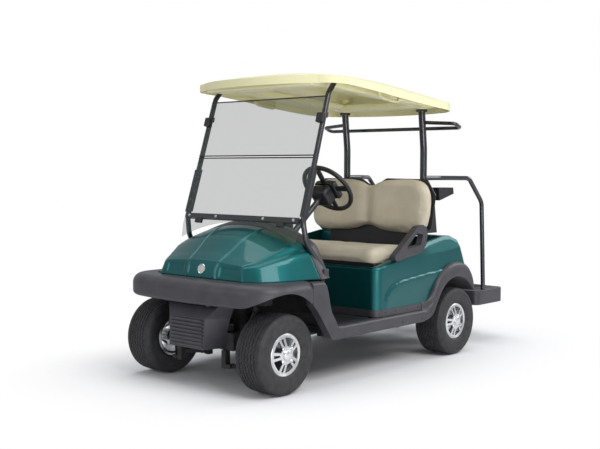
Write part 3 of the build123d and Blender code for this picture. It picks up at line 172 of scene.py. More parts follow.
LAMPS = [
    # name, place, aim, width, height, watts
    ("Key", (1.2, 4.6, 4.6), (0.1, 0.3, 0.7), 4.0, 2.6, 190),
    ("Top", (0.2, -0.6, 5.4), (0.1, 0.0, 1.0), 4.5, 4.5, 130),
    ("Front", (5.8, -1.0, 2.6), (0.6, 0.0, 0.7), 3.0, 2.2, 45),
    ("Low", (3.2, 5.4, 0.5), (-0.2, 0.0, 1.3), 3.0, 0.9, 75),
    ("Rear", (-4.6, 2.6, 3.4), (-0.6, 0.0, 0.8), 3.0, 2.4, 90),
]
for name, place, target, width, height, watts in LAMPS:
    lamp = bpy.data.lights.new(name, "AREA")
    lamp.shape = "RECTANGLE"
    lamp.size, lamp.size_y, lamp.energy = width, height, watts
    placed = bpy.data.objects.new(name, lamp)
    placed.location = place
    way = Vector(target) - Vector(place)
    placed.rotation_euler = way.to_track_quat("-Z", "Y").to_euler()
    scene.collection.objects.link(placed)

# %% [markdown]
# The paper takes the cart's shadow. Further out it fades to plain white,
# so that no horizon shows, from a rectangle smaller than the cart.

# %% Floor
FLOOR_HALF = 30
FADE_FROM_HALF_SIZE = (1.05, 0.40, 0.0)
FADE_START, FADE_END = 0.10, 1.15  # metres outside that rectangle
floor_corners = [(x * FLOOR_HALF, y * FLOOR_HALF, 0) for x, y in SQUARE]
floor = mesh_object("Floor", floor_corners, [(0, 1, 2, 3)])
paper = bpy.data.materials.new("White paper sweep")
paper.use_nodes = True
tree = paper.node_tree
tree.nodes.clear()
rays = add(tree, "LightPath")
spot = add(tree, "NewGeometry").outputs["Position"]
folded = compute(tree, "ABSOLUTE", spot, kind="VectorMath")
past = compute(tree, "SUBTRACT", folded, FADE_FROM_HALF_SIZE, kind="VectorMath")
outside = compute(tree, "MAXIMUM", past, (0.0, 0.0, 0.0), kind="VectorMath")
away = compute(tree, "LENGTH", outside, kind="VectorMath")
fade = add(
    tree, "MapRange", {"interpolation_type": "SMOOTHSTEP"},
    Value=away.outputs["Value"], From_Min=FADE_START, From_Max=FADE_END,
)
lit = add(tree, "BsdfDiffuse", Color=srgb("#F4F4F6"))
glow = add(tree, "Emission", Color=(1, 1, 1, 1), Strength=1.0)
swept = add(tree, "MixShader", _0=fade, _1=lit, _2=glow)
plain = add(tree, "MixShader", _0=seen_share(tree, rays), _1=lit, _2=swept)
add(tree, "OutputMaterial", Surface=plain)
floor.data.materials.append(paper)

# %% [markdown]
# ## Materials
# Each material is a Principled shader. Noise lets its colour wander between
# two close tones, and a second texture gives it a fine relief. Coordinates
# are in metres, so a 2 mm grain has a scale of 500.


# %% A material's common parts
def texture(tree, kind, mm, settings=None, **inputs):
    """A Noise or Voronoi texture with features of that size."""
    place = add(tree, "TexCoord").outputs["Object"]
    return add(tree, f"Tex{kind}", settings, Vector=place, Scale=1000 / mm, **inputs)


def finish(name, dark, pale, patch_mm, detail=3.0, **sockets):
    """A new material in two close tones; sockets set the shader."""
    made = bpy.data.materials.new(name)
    made.use_nodes = True
    tree = made.node_tree
    shader = tree.nodes["Principled BSDF"]
    for socket, value in sockets.items():
        shader.inputs[socket.replace("_", " ")].default_value = value
    cloud = texture(tree, "Noise", patch_mm, Detail=detail)
    tones = add(tree, "ValToRGB", Fac=cloud)
    low, high = tones.color_ramp.elements
    low.position, low.color = 0.35, srgb(dark)
    high.position, high.color = 0.65, srgb(pale)
    tree.links.new(tones.outputs["Color"], shader.inputs["Base Color"])
    return made


def emboss(made, kind, mm, depth_mm, strength, settings=None, **inputs):
    """Fine relief of that depth on a material, from a texture of that size."""
    tree = made.node_tree
    height = texture(tree, kind, mm, settings, **inputs)
    bump = add(tree, "Bump", Strength=strength, Distance=depth_mm * MM, Height=height)
    tree.links.new(bump.outputs["Normal"], tree.nodes["Principled BSDF"].inputs["Normal"])


# %% [markdown]
# The body is plastic with a metallic basecoat and a clear lacquer. Real
# flakes are 0.05 mm; 1.5 mm is the finest that shows from here.

# %% Lacquered metallic green
green_paint = finish(
    "Lacquered metallic green", "#095759", "#0B5D5F", 260, Metallic=0.8, Roughness=0.44,
    Coat_Weight=0.45, Coat_Roughness=0.06, Specular_IOR_Level=0.3,
)
emboss(green_paint, "Noise", 1.5, 0.02, 0.25)

# %% [markdown]
# Bumper, sills, arches, dash and step are black-grey polypropylene with a
# moulded leather grain. The real grain is 1 mm; it is drawn at 4 mm.

# %% Grained grey polypropylene
grey_moulding = finish(
    "Grained grey polypropylene", "#343439", "#3C3B41", 90, Roughness=0.44
)
emboss(grey_moulding, "Voronoi", 4.0, 0.8, 0.35, {"feature": "DISTANCE_TO_EDGE"})

# %% [markdown]
# The roof is vacuum-formed ABS: smooth, creamy, with a faint, wide ripple.

# %% Cream ABS
cream_abs = finish("Cream vacuum-formed ABS", "#E4DFB0", "#E9E5B8", 300, Roughness=0.32)
emboss(cream_abs, "Noise", 60, 0.6, 0.15)

# %% [markdown]
# The seats are expanded vinyl over foam, with a pebble grain. Real pebbles
# are 0.8 mm; they are drawn at 2.5 mm.

# %% Tan vinyl
tan_vinyl = finish(
    "Tan expanded vinyl", "#BDB39E", "#C6BDA9", 120, Roughness=0.5,
    Specular_IOR_Level=0.45, Sheen_Weight=0.15, Sheen_Roughness=0.5,
)
emboss(tan_vinyl, "Voronoi", 2.5, 0.4, 0.35)

# %% [markdown]
# Struts, posts and handles are steel tube with a black powder coat, which
# cures to a slight orange peel. Road dust dulls it on the parts below.

# %% Black powder coat, clean and dusty
black_coat = finish(
    "Black powder-coated steel", "#1B1C21", "#202127", 40, Roughness=0.27,
    Specular_IOR_Level=0.6, Coat_Weight=0.4, Coat_Roughness=0.12,
)
emboss(black_coat, "Noise", 3, 0.15, 0.3)
chassis_black = finish(
    "Dusty chassis black", "#1A1A1C", "#2A2926", 60, 6.0, Roughness=0.6,
    Specular_IOR_Level=0.4,
)
emboss(chassis_black, "Noise", 60, 0.5, 0.3, Detail=6.0)

# %% [markdown]
# Grips, clips and seat shells are satin polyamide. Tyres are carbon-black
# rubber that dust makes greyer, and the mat is plain black rubber.

# %% Polyamide and rubbers
black_nylon = finish("Satin black polyamide", "#17181B", "#1D1E21", 50, Roughness=0.42)
emboss(black_nylon, "Noise", 2.0, 0.15, 0.3)
tyre_rubber = finish(
    "Carbon-black tyre rubber", "#29292B", "#353537", 35, 5.0, Roughness=0.62,
    Specular_IOR_Level=0.4,
)
emboss(tyre_rubber, "Noise", 35, 0.25, 0.3, Detail=5.0)
mat_rubber = finish(
    "Black mat rubber", "#1C1C1E", "#252527", 25, 5.0, Roughness=0.7,
    Specular_IOR_Level=0.35,
)

# %% [markdown]
# The wheels are lacquered cast aluminium. The small hardware is zinc
# plated, and nuts and badge ring are chromed.

# %% Bright metals
cast_alloy = finish(
    "Machined cast aluminium", "#D8D9DB", "#E4E5E6", 30, Metallic=1.0, Roughness=0.3,
    Coat_Weight=0.3, Coat_Roughness=0.1,
)
emboss(cast_alloy, "Noise", 1.5, 0.05, 0.4, Detail=4.0)
zinc_plate = finish(
    "Zinc-plated steel", "#B9BABC", "#C9CACC", 12, Metallic=1.0, Roughness=0.36
)
bright_chrome = finish(
    "Chromed zinc casting", "#DFE1E4", "#E6E8EA", 40, Metallic=1.0, Roughness=0.08
)

# %% [markdown]
# The windshield is 5 mm acrylic with a faint grey-green tint: dark, but
# mostly see-through.

# %% Tinted acrylic
tinted_acrylic = finish(
    "Tinted acrylic sheet", "#46534E", "#4A5752", 400, Roughness=0.02, Alpha=0.245,
    IOR=1.49,
)
print("materials:", len(bpy.data.materials))

# %% [markdown]
# ## Give every CAD node its finish
# Each node keeps its CAD shape and takes one material. Real edges are
# never knife sharp, so the hard ones get a small bevel.

# %% Finishes of the CAD nodes
def ease(made, width_mm, segments, degrees):
    """Rounds the edges that are sharper than that angle."""
    edge = made.modifiers.new("Eased edges", "BEVEL")
    edge.width, edge.segments = width_mm * MM, segments
    edge.limit_method, edge.angle_limit = "ANGLE", math.radians(degrees)


FINISHES = [
    # material, bevel in mm (0 for none), nodes
    (green_paint, 3, "front_cowl rear_body"),
    (grey_moulding, 3, "front_bumper rear_flares rockers base_trim front_apron"),
    (grey_moulding, 3, "dash rear_step bag_well"),
    (grey_moulding, 9, "armrests"),
    (cream_abs, 0, "roof"),
    (tan_vinyl, 3, "seat_cushion seat_back"),
    (black_coat, 1.5, "front_struts rear_posts overhead_bar step_handle"),
    (black_coat, 1.5, "windshield_bar steering_column"),
    (chassis_black, 2, "frame front_suspension knuckle_left knuckle_right"),
    (chassis_black, 2, "steering_rack rear_axle rear_springs pedals floor_pan"),
    (black_nylon, 2, "seat_pan seat_back_shell bag_rest batteries"),
    (black_nylon, 0, "steering_wheel"),
    (mat_rubber, 0, "floor_mat"),
    (tinted_acrylic, 0, "windshield"),
    (cast_alloy, 1, "motor"),
    *((cast_alloy, 1, f"rim_{corner}") for corner in WHEELS),
    *((tyre_rubber, 0, f"tyre_{corner}") for corner in WHEELS),
]
for material, bevel_mm, names in FINISHES:
    for name in names.split():
        mesh = cad[name].data
        mesh.materials.clear()
        mesh.materials.append(material)
        if bevel_mm:
            ease(cad[name], bevel_mm, 2, 40)
print("faces in the CAD nodes:", sum(len(o.data.polygons) for o in cad.values()))

# %% [markdown]
# ## Tyres
# The tyres have low ribs with wavy edges, cut across by thin sipes. One
# grid of points makes them: each column is a place on the profile, each
# row a step round the wheel. Columns sway, and every few rows dip.


# %% Helpers for meshes
@contextlib.contextmanager
def edited(mesh):
    """Opens the mesh for edits and writes them back at the end."""
    work = bmesh.new()
    work.from_mesh(mesh)
    yield work
    work.to_mesh(mesh)
    work.free()


def dress(made, material, body, crease, slot):
    """Material, smooth shading up to the crease angle, and body; slot is not used."""
    made.data.materials.clear()
    made.data.materials.append(material)
    with edited(made.data) as work:
        bmesh.ops.remove_doubles(work, verts=work.verts, dist=1e-6)
        bmesh.ops.recalc_face_normals(work, faces=work.faces)
        for face in work.faces:
            face.smooth = True
        for line in work.edges:
            if len(line.link_faces) == 2:
                line.smooth = line.calc_face_angle(0) < math.radians(crease)
    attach(made, body)
    return made


def piece(name, points, faces, *look):
    """A new mesh object, dressed."""
    return dress(mesh_object(name, points, faces), *look)


def thicken(made, mm):
    """Gives a moulded skin its thickness, on its inner side."""
    skin = made.modifiers.new("Moulding thickness", "SOLIDIFY")
    skin.thickness, skin.offset = mm * MM, -1


def grid_faces(rows, columns, wrap_rows=False, wrap_columns=False):
    """Quads over a grid whose points are stored row by row."""
    faces = []
    for r in range(rows if wrap_rows else rows - 1):
        here, after = r * columns, (r + 1) % rows * columns
        for c in range(columns if wrap_columns else columns - 1):
            d = (c + 1) % columns
            faces.append((here + c, here + d, after + d, after + c))
    return faces


def ring_faces(rings, sides, closed=False):
    """Quads between rings of points, with a face over each open end."""
    faces = grid_faces(rings, sides, closed, True)
    if not closed:
        last = range((rings - 1) * sides, rings * sides)
        faces += [tuple(range(sides))[::-1], tuple(last)]
    return faces


# %% Tyre
TYRE_RADIUS, TREAD_HALF = 228.4, 78.0
GROOVE_DEPTH, GROOVE_HALF, GROOVE_FLANK = 7.0, 2.8, 0.8
GROOVES_Y = [-56, -34, -11.5, 11.5, 34, 56]
POINTS_ACROSS_RIB = 5
CROWN_DROP, CROWN_POWER = 3.6, 2.4  # how far the tread falls at its edges
STEPS_ROUND = 540
SWAYS_ROUND, SWAY = 45, 2.4
SIPE_EVERY, SIPE_DEPTH, SIPE_SLANT = 6, 3.6, 6
SIDEWALL = [
    # distance out from the middle of the tyre, radius, in mm
    (84, 224.5), (91, 219), (96.5, 211), (99.6, 202), (101.0, 195), (101.0, 192.5),
    (102.3, 191.5), (102.3, 188), (101.2, 187), (101.8, 178), (101.6, 166),
    (100.2, 153), (97.4, 141), (94, 133), (93.4, 131), (92.2, 130.4), (90.6, 128),
    (86, 124.5), (84, 120),
]


def tyre_columns():
    """(distance across, radius, how much it sways, how much a sipe dips it)."""
    across = []
    edges = [-TREAD_HALF, *GROOVES_Y, TREAD_HALF]
    for left, right in zip(edges, edges[1:]):
        first, last = left == -TREAD_HALF, right == TREAD_HALF
        low = left + (0 if first else GROOVE_HALF)
        high = right - (0 if last else GROOVE_HALF)
        if not first:
            across.append((left + GROOVE_HALF - GROOVE_FLANK, GROOVE_DEPTH, 1.0, 0.0))
        for share in np.linspace(0, 1, POINTS_ACROSS_RIB):
            y = low + (high - low) * share
            sway = share if first else 1 - share if last else 1.0
            across.append((y, 0.0, sway, 1.0))
        if not last:
            across.append((right - GROOVE_HALF + GROOVE_FLANK, GROOVE_DEPTH, 1.0, 0.0))
    # tread radii: a slight crown, less the groove's depth where there is one
    crowned = []
    for y, r, sway, dip in across:
        crown = TYRE_RADIUS - CROWN_DROP * (abs(y) / TREAD_HALF) ** CROWN_POWER
        crowned.append((y, crown - r, sway, dip))
    right, left = ([(side * y, r, 0.0, 0.0) for y, r in SIDEWALL] for side in (1, -1))
    return left[::-1] + crowned + right


columns = tyre_columns()
turns = np.linspace(0, 2 * math.pi, STEPS_ROUND, endpoint=False)
tyre_points = []
for step, turn in enumerate(turns):
    for y, r, sway, dip in columns:
        # slanted sipes: rows are counted with a shift that grows across the rib
        sipe = (step + int(round(y / SIPE_SLANT))) % SIPE_EVERY == 0
        shift = SWAY * sway * math.sin(turn * SWAYS_ROUND + y * 0.05)
        radius = r - (SIPE_DEPTH * dip if sipe else 0)
        tyre_points.append(
            (radius * MM * math.cos(turn), (y + shift) * MM, radius * MM * math.sin(turn))
        )
tyre_faces = grid_faces(STEPS_ROUND, len(columns), wrap_rows=True)
for corner, centre in WHEELS.items():
    placed = [Vector(p) + centre for p in tyre_points]
    tyre = piece(
        f"treaded_tyre_{corner}", placed, tyre_faces, tyre_rubber, f"wheel_{corner}", 50,
        "tyre",
    )
    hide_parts(f"tyre_{corner}")
print("faces in a tyre:", len(tyre_faces))

# %% [markdown]
# ## Seats
# The bench and the back are foam pads in vinyl covers. Each is a block
# remeshed into small even faces, whose points move until the edge is round
# and the face crowned. A short cloth simulation lets the cover swell.


# %% Helpers for pads
def hill(value, middle, width):
    """1 at the middle, falling smoothly to 0 a few widths away."""
    return np.exp(-(((value - middle) / width) ** 2))


def quarter_round(inside, radius):
    """0 at the edge, 1 from one radius inwards, a quarter circle between."""
    return np.sqrt(np.clip(1 - (1 - np.clip(inside / radius, 0, 1)) ** 2, 0, 1))


def outline_distance(points, outline):
    """For each (u, v): how far inside the closed outline it is (0 outside)."""
    nearest = np.full(len(points), 1e9)
    inside = np.zeros(len(points), bool)
    for (u1, v1), (u2, v2) in zip(outline, outline[1:] + outline[:1]):
        a, b = np.array((u1, v1)), np.array((u2, v2))
        span = max((b - a) @ (b - a), 1e-12)
        along = np.clip(((points - a) @ (b - a)) / span, 0, 1)
        away = points - (a + along[:, None] * (b - a))
        nearest = np.minimum(nearest, np.hypot(away[:, 0], away[:, 1]))
        crosses = (v1 > points[:, 1]) != (v2 > points[:, 1])
        with np.errstate(divide="ignore", invalid="ignore"):
            where = (u2 - u1) * (points[:, 1] - v1) / (v2 - v1) + u1
        inside ^= crosses & (points[:, 0] < where)
    return np.where(inside, nearest, 0.0)


def rounded(corners, radii, steps=8):
    """A closed outline with its corners rounded, as a list of points."""
    line = []
    count = len(corners)
    for i, radius in enumerate(radii):
        here = np.array(corners[i], float)
        ends = []
        for k in (-1, 1):
            side = np.array(corners[(i + k) % count], float) - here
            length = np.linalg.norm(side)
            ends.append(here + side / length * min(radius, length * 0.48))
        for t in np.linspace(0, 1, steps):
            curve = (1 - t) ** 2 * ends[0] + 2 * t * (1 - t) * here + t**2 * ends[1]
            line.append(tuple(curve))
    return line


def apply_modifier(made, modifier):
    """Turns the modifier's result into the mesh."""
    with bpy.context.temp_override(object=made, active_object=made):
        bpy.ops.object.modifier_apply(modifier=modifier.name)


def pad_block(name, outline, low, high, place):
    """A remeshed block: the outline in (u, v), thick from low to high."""
    points = [place(u, v, w) for w in (low, high) for u, v in outline]
    made = mesh_object(name, points, ring_faces(2, len(outline)))
    remesh = made.modifiers.new("Even faces", "REMESH")
    remesh.mode, remesh.voxel_size = "VOXEL", PAD_VOXEL
    apply_modifier(made, remesh)
    return made


def read_points(made):
    """The mesh's points as rows of an array."""
    flat = np.zeros(len(made.data.vertices) * 3)
    made.data.vertices.foreach_get("co", flat)
    return flat.reshape(-1, 3)


def columns_mm(points):
    """Their columns in mm: ahead of the rear axle, to the left, up."""
    return (points - (REAR_AXLE, 0, 0)).T / MM


def write_points(made, points):
    """Puts the rows of that array back as the mesh's points."""
    made.data.vertices.foreach_set("co", points.ravel())
    made.data.update()


def swell(made, pressure=2.5, cap_mm=5, frames=16):
    """Lets the cover swell like cloth, then keeps each point near its start."""
    before = read_points(made)
    cloth = made.modifiers.new("Cover", "CLOTH")
    cover = cloth.settings
    cover.use_pressure, cover.uniform_pressure_force = True, pressure
    cover.quality, cover.effector_weights.gravity = 4, 0
    cover.tension_stiffness = cover.compression_stiffness = 25
    cover.bending_stiffness = 2
    cloth.point_cache.frame_start, cloth.point_cache.frame_end = 1, frames
    for frame in range(1, frames + 1):
        scene.frame_set(frame)
    apply_modifier(made, cloth)
    scene.frame_set(1)
    move = read_points(made) - before
    length = np.linalg.norm(move, axis=1, keepdims=True)
    move *= np.minimum(1.0, cap_mm * MM / np.maximum(length, 1e-9))
    write_points(made, before + move)
    print(made.name, "swelled by up to", round(float(length.max()) * 1000, 1), "mm")


def smooth_points(made, times):
    """Evens out the points without a modifier left behind."""
    with edited(made.data) as work:
        for _ in range(times):
            bmesh.ops.smooth_vert(
                work, verts=work.verts, factor=0.5, use_axis_x=True, use_axis_y=True,
                use_axis_z=True,
            )


def settle(made):
    """The points in their new places: evened out, swollen, evened again."""
    smooth_points(made, 3)
    swell(made)
    smooth_points(made, 2)


def upholster(made, body, node):
    """Vinyl cover on the finished pad, which stands for that CAD node."""
    dress(made, tan_vinyl, body, 180, "seat vinyl")
    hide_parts(node)
    finer = made.modifiers.new("Finer", "SUBSURF")
    finer.levels = finer.render_levels = 1
    print(made.name, "faces before the last subdivision:", len(made.data.polygons))


# %% [markdown]
# The bench is one pad with rolled edges, two shallow hollows, and a sewn
# seam near its front edge and near each end.

# %% Bench cushion
PAD_VOXEL = 6.8 * MM
BENCH_HALF, BENCH_LOW, BENCH_HIGH = 497.0, 657.2, 762.0
BENCH_REAR, BENCH_FRONT, BENCH_MIDDLE = 412.0, 813.0, 612.0
BENCH_ROLL, BENCH_CROWN = 44.0, 6.0
HOLLOW_DEPTH, HOLLOW_SIDE, HOLLOW_X = 9.0, 235.0, 590.0
SEAM_SIDE, SEAM_X, SEAM_WIDTH, SEAM_DEPTH = 452.0, 776.0, 2.6, 2.2
SEAM_LOWEST, MIDDLE_DIP = 720, 5.0
bench_outline = rounded(
    [(BENCH_REAR, -BENCH_HALF), (BENCH_FRONT, -BENCH_HALF), (BENCH_FRONT, BENCH_HALF),
     (BENCH_REAR, BENCH_HALF)], [26, 70, 70, 26],
)
bench = pad_block(
    "bench_cushion", bench_outline, BENCH_LOW, BENCH_HIGH,
    lambda u, v, w: (rear_x(u), v * MM, w * MM),
)
u, v, w = columns_mm(read_points(bench))
inside = outline_distance(np.stack([u, v], 1), bench_outline)
edge = quarter_round(inside, BENCH_ROLL)
height = np.clip((w - BENCH_LOW) / (BENCH_HIGH - BENCH_LOW), 0, 1)
crown = BENCH_CROWN * np.cos(np.clip((u - BENCH_MIDDLE) / 200, -1, 1) * math.pi / 2)
hollow = HOLLOW_DEPTH * hill(np.abs(v), HOLLOW_SIDE, 120) * hill(u, HOLLOW_X, 110)
middle = MIDDLE_DIP * hill(v, 0, 26) * np.clip(inside / 60, 0, 1)
top = BENCH_HIGH - BENCH_ROLL * (1 - edge) + (crown - hollow - middle - 4) * edge
new_w = BENCH_LOW + height * (top - BENCH_LOW)
# the flanks lean in towards the pan
lean = np.where(inside < 14, (1 - height) * 3.0, 0)
new_u, new_v = u + np.sign(BENCH_MIDDLE - u) * lean, v - np.sign(v) * lean
write_points(bench, np.stack([REAR_AXLE + new_u * MM, new_v * MM, new_w * MM], 1))
settle(bench)

# the seams press into the top
points = read_points(bench)
u, side, _ = np.abs(columns_mm(points))
along_front = hill(u, SEAM_X, SEAM_WIDTH) * (side < SEAM_SIDE)
seam = np.maximum(hill(side, SEAM_SIDE, SEAM_WIDTH), along_front)
points[:, 2] -= seam * SEAM_DEPTH * MM * (points[:, 2] > SEAM_LOWEST * MM)
write_points(bench, points)
upholster(bench, "seat_lid", "seat_cushion")

# %% [markdown]
# The back is two rounded squabs joined at a low valley, where the outline
# dips at the top and at the bottom. Each is hollowed for a rider's back.

# %% Back pad
BACK_FRONT, BACK_THICK, BACK_RECLINE = 248.0, 72.0, math.radians(6)
BACK_LEVEL = 1000.0  # the height that its slope turns about
FRONT_ROUND, BACK_ROUND = 46.0, 14.0
VALLEY_DEPTH, DISH_DEPTH, LUMBAR_RISE = 20.0, 12.0, 6.0
BACK_HALF = [
    # y, height above that level, corner radius, from the middle's top round
    (0, 140, 120), (112, 200, 190), (440, 196, 110), (516, 90, 120),
    (500, -124, 90), (430, -172, 90), (130, -168, 120), (0, -116, 130),
]
back_corners = BACK_HALF + [(-y, z, radius) for y, z, radius in BACK_HALF[-2:0:-1]]
back_outline = rounded(
    [corner[:2] for corner in back_corners], [corner[2] for corner in back_corners], 10
)


def on_back(y, up, depth):
    """A point of the reclined back; depth is counted rearward from its face."""
    x = BACK_FRONT - up * math.sin(BACK_RECLINE) - depth * math.cos(BACK_RECLINE)
    z = BACK_LEVEL + up * math.cos(BACK_RECLINE) - depth * math.sin(BACK_RECLINE)
    return (rear_x(x), y * MM, z * MM)


back = pad_block("back_squabs", back_outline, 0, BACK_THICK, on_back)
x, across, z = columns_mm(read_points(back))
dx, dz = x - BACK_FRONT, z - BACK_LEVEL
upward = dz * math.cos(BACK_RECLINE) - dx * math.sin(BACK_RECLINE)
depth = -(dx * math.cos(BACK_RECLINE) + dz * math.sin(BACK_RECLINE))
inside = outline_distance(np.stack([across, upward], 1), back_outline)
share = np.clip(depth / BACK_THICK, 0, 1)
valley = VALLEY_DEPTH * hill(across, 0, 46) * np.clip(inside / 40, 0, 1)
dish = DISH_DEPTH * hill(np.abs(across), 275, 120) * hill(upward, 40, 90)
lumbar = LUMBAR_RISE * hill(np.abs(across), 270, 150) * hill(upward, -100, 45)
edge_depth = FRONT_ROUND * (1 - quarter_round(inside, FRONT_ROUND))
front_depth = edge_depth + valley + dish - lumbar + 4
back_depth = BACK_THICK - BACK_ROUND * (1 - quarter_round(inside, BACK_ROUND))
new_depth = front_depth + share * (back_depth - front_depth)
placed = [on_back(y, up_mm, d) for y, up_mm, d in zip(across, upward, new_depth)]
write_points(back, np.array(placed))
settle(back)
upholster(back, "chassis", "seat_back")

# %% [markdown]
# ## Hood
# The hood is one painted moulding: a low front face, a crowned top that
# climbs to the windshield, and flanks that lean in. It is built as a grid:
# each row is a cross-section, each column runs from bumper to dash.

# %% Hood sections
HOOD_FOOT = 626.0
HOOD_SECTIONS = np.array([
    # x at the foot, lean, half width at foot and shoulder, shoulder height,
    # crown height, shoulder radius; mm from the front axle, heights from foot
    (134, -0.28, 345, 328, 84, 98, 26),
    (100, -0.21, 388, 358, 94, 122, 42),
    (62, -0.15, 428, 385, 104, 146, 56),
    (-5, -0.07, 470, 418, 128, 193, 72),
    (-70, 0.0, 500, 448, 148, 232, 88),
    (-180, 0.12, 531, 470, 174, 268, 98),
    (-292, 0.24, 552, 487, 190, 290, 104),
], float)
ROWS_TOP, ROWS_FRONT = 72, 14
FLANK_STEPS, BEND_STEPS, TOP_STEPS = 10, 16, 90
FLANK_POINTS, TOP_POINTS, FINE_POINTS = 40, 160, 600  # of a section before it is eased
BEND_SHARE = 1.15  # of the shoulder radius, eased on each side of the corner
HOOD_THICK = 3.5


def smooth_through(stations, count):
    """Rows spaced evenly between stations, on a curve through them."""
    slopes = np.gradient(stations, axis=0)
    out = []
    for t in np.linspace(0, len(stations) - 1, count):
        i = min(int(t), len(stations) - 2)
        f = t - i
        rise = 3 * f**2 - 2 * f**3
        out.append(
            (1 - rise) * stations[i] + (f**3 - 2 * f**2 + f) * slopes[i]
            + rise * stations[i + 1] + (f**3 - f**2) * slopes[i + 1]
        )
    return np.array(out)


def rising(past, soft):
    """0 well before the place, 1 well past it, both counted in soft steps."""
    return 1 / (1 + np.exp(-past / soft))


def hood_row(station):
    """(y, height) from the left foot over the crown to the right foot."""
    foot, shoulder, shoulder_z, crown_z, radius = station[2:]
    rise = crown_z - shoulder_z
    arch = (shoulder**2 + rise**2) / (2 * rise)
    line = [
        (foot + (shoulder - foot) * t, shoulder_z * t)
        for t in np.linspace(0, 1, FLANK_POINTS)
    ]
    for y in np.linspace(shoulder, 0, TOP_POINTS)[1:]:
        line.append((y, crown_z - arch + math.sqrt(arch**2 - y**2)))
    line = np.array(line)
    # round the shoulder by averaging along the line
    run = np.concatenate([[0], np.cumsum(np.hypot(*np.diff(line, axis=0).T))])
    corner = run[FLANK_POINTS - 1]
    wide = radius * BEND_SHARE
    fine = np.linspace(0, run[-1], FINE_POINTS)
    path = np.stack([np.interp(fine, run, line[:, k]) for k in (0, 1)], 1)
    soft = path.copy()
    for i, s in enumerate(fine):
        if abs(s - corner) < wide:
            window = wide - abs(s - corner)
            near = np.abs(fine - s) <= window
            soft[i] = path[near].mean(axis=0)
    marks = np.concatenate([
        np.linspace(0, corner - wide, FLANK_STEPS, endpoint=False),
        np.linspace(corner - wide, corner + wide, BEND_STEPS, endpoint=False),
        np.linspace(corner + wide, run[-1], TOP_STEPS),
    ])
    half = np.stack([np.interp(marks, fine, soft[:, k]) for k in (0, 1)], 1)
    return np.concatenate([half, half[-2::-1] * (-1, 1)])


# %% Hood surface
top_rows = []
for station in smooth_through(HOOD_SECTIONS, ROWS_TOP):
    y, height = hood_row(station).T
    top_rows.append(np.stack([station[0] + station[1] * height, y, height], 1))
# the front face drops from the first section's edge to the bumper
face_rows = []
foot_x, face_lean = HOOD_SECTIONS[0, :2]
for share in np.linspace(0, 1, ROWS_FRONT, endpoint=False):
    height = top_rows[0][:, 2] * share
    x = foot_x + face_lean * height + 3 * math.sin(math.pi * share)
    face_rows.append(np.stack([x, top_rows[0][:, 1], height], 1))
shape = np.array(face_rows + top_rows)

# %% [markdown]
# Two creases drift apart towards the glass and fade out. Down the front
# face they go on as ridges, with a shallow blank panel outboard of each.

# %% Hood creases
x, side, h = shape[..., 0], np.abs(shape[..., 1]), shape[..., 2]
is_face = np.arange(len(shape))[:, None] < ROWS_FRONT
crease_y = np.interp(-x, [-134, -104, 163, 300], [108, 124, 164, 186])
lift = 6.5 * hill(side, crease_y, 5.5) - 2.5 * rising(side - crease_y, 5.0) + 2.5
shape[..., 2] += np.where(is_face, 0, lift * np.clip((x + 300) / 160, 0, 1))
face_crease_y = np.interp(h, [0, 20, 60, 100], [122, 112, 112, 124])
panel = rising(side - 150, 3) * rising(292 - side, 3)
panel *= rising(h - 18, 3) * rising(70 - h, 3)
ridge = hill(side, face_crease_y, 8.0)
shape[..., 0] += np.where(is_face, 5.5 * ridge - 5.0 * panel, 0)
hood_points = (shape + (0, 0, HOOD_FOOT)).reshape(-1, 3) * MM + (FRONT_AXLE, 0, 0)
hood = piece(
    "painted_hood", hood_points, grid_faces(*shape.shape[:2]), green_paint, "chassis", 180,
    "painted body",
)
thicken(hood, HOOD_THICK)
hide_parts("front_cowl")
print("hood faces:", len(hood.data.polygons))

# %% [markdown]
# ## Small parts
# Three helpers make the hardware: a box, a profile turned round an axis
# and a tube along a line. A whole set of screws is a single piece.


# %% Helpers for hardware
def frame_of(axis, roll_to=(0, 0, 1)):
    """A turn whose Z is the axis and whose X lies as near roll_to as it can."""
    z = Vector(axis).normalized()
    x = Vector(roll_to) - z * z.dot(Vector(roll_to))
    if x.length < 1e-6:
        x = z.orthogonal()
    x.normalize()
    return Matrix((x, z.cross(x), z)).transposed()


def gather(parts):
    """One list of points and one of faces from several (points, faces)."""
    points, faces = [], []
    for part_points, part_faces in parts:
        start = len(points)
        points += part_points
        faces += [tuple(i + start for i in face) for face in part_faces]
    return points, faces


def box_part(centre, size, axis=(0, 0, 1), roll_to=(1, 0, 0)):
    """A box: its third size lies along the axis, its first along roll_to."""
    turn = frame_of(axis, roll_to)
    half = Vector(size) / 2
    corners = [
        Vector(centre) + turn @ (half * Vector((x, y, z)))
        for z in (-1, 1)
        for x, y in SQUARE
    ]
    return corners, ring_faces(2, 4)


def circle(centre, side, other, radius, sides):
    """Points round a circle that lies along those two directions."""
    turns = [2 * math.pi * k / sides for k in range(sides)]
    return [centre + radius * (math.cos(a) * side + math.sin(a) * other) for a in turns]


def turned_part(centre, axis, profile, sides=24):
    """A profile of (distance from the axis, distance along it), in mm."""
    side, other, along = frame_of(axis).transposed()
    points = []
    for radius, reach in profile:
        middle = Vector(centre) + along * (reach * MM)
        points += circle(middle, side, other, radius * MM, sides)
    return points, ring_faces(len(profile), sides)


def tube_part(line, radius, sides=14, closed=False):
    """A round bar along a line of points; each end is flat."""
    line = [Vector(p) for p in line]
    count = len(line)
    points, side = [], None
    for i, p in enumerate(line):
        ahead_point = line[(i + 1) % count] if closed or i < count - 1 else p
        back_point = line[i - 1] if closed or i > 0 else p
        along = (ahead_point - back_point).normalized()
        if side is None:
            side = along.orthogonal().normalized()
        side = (side - along * side.dot(along)).normalized()
        points += circle(p, side, along.cross(side), radius, sides)
    return points, ring_faces(count, sides, closed)


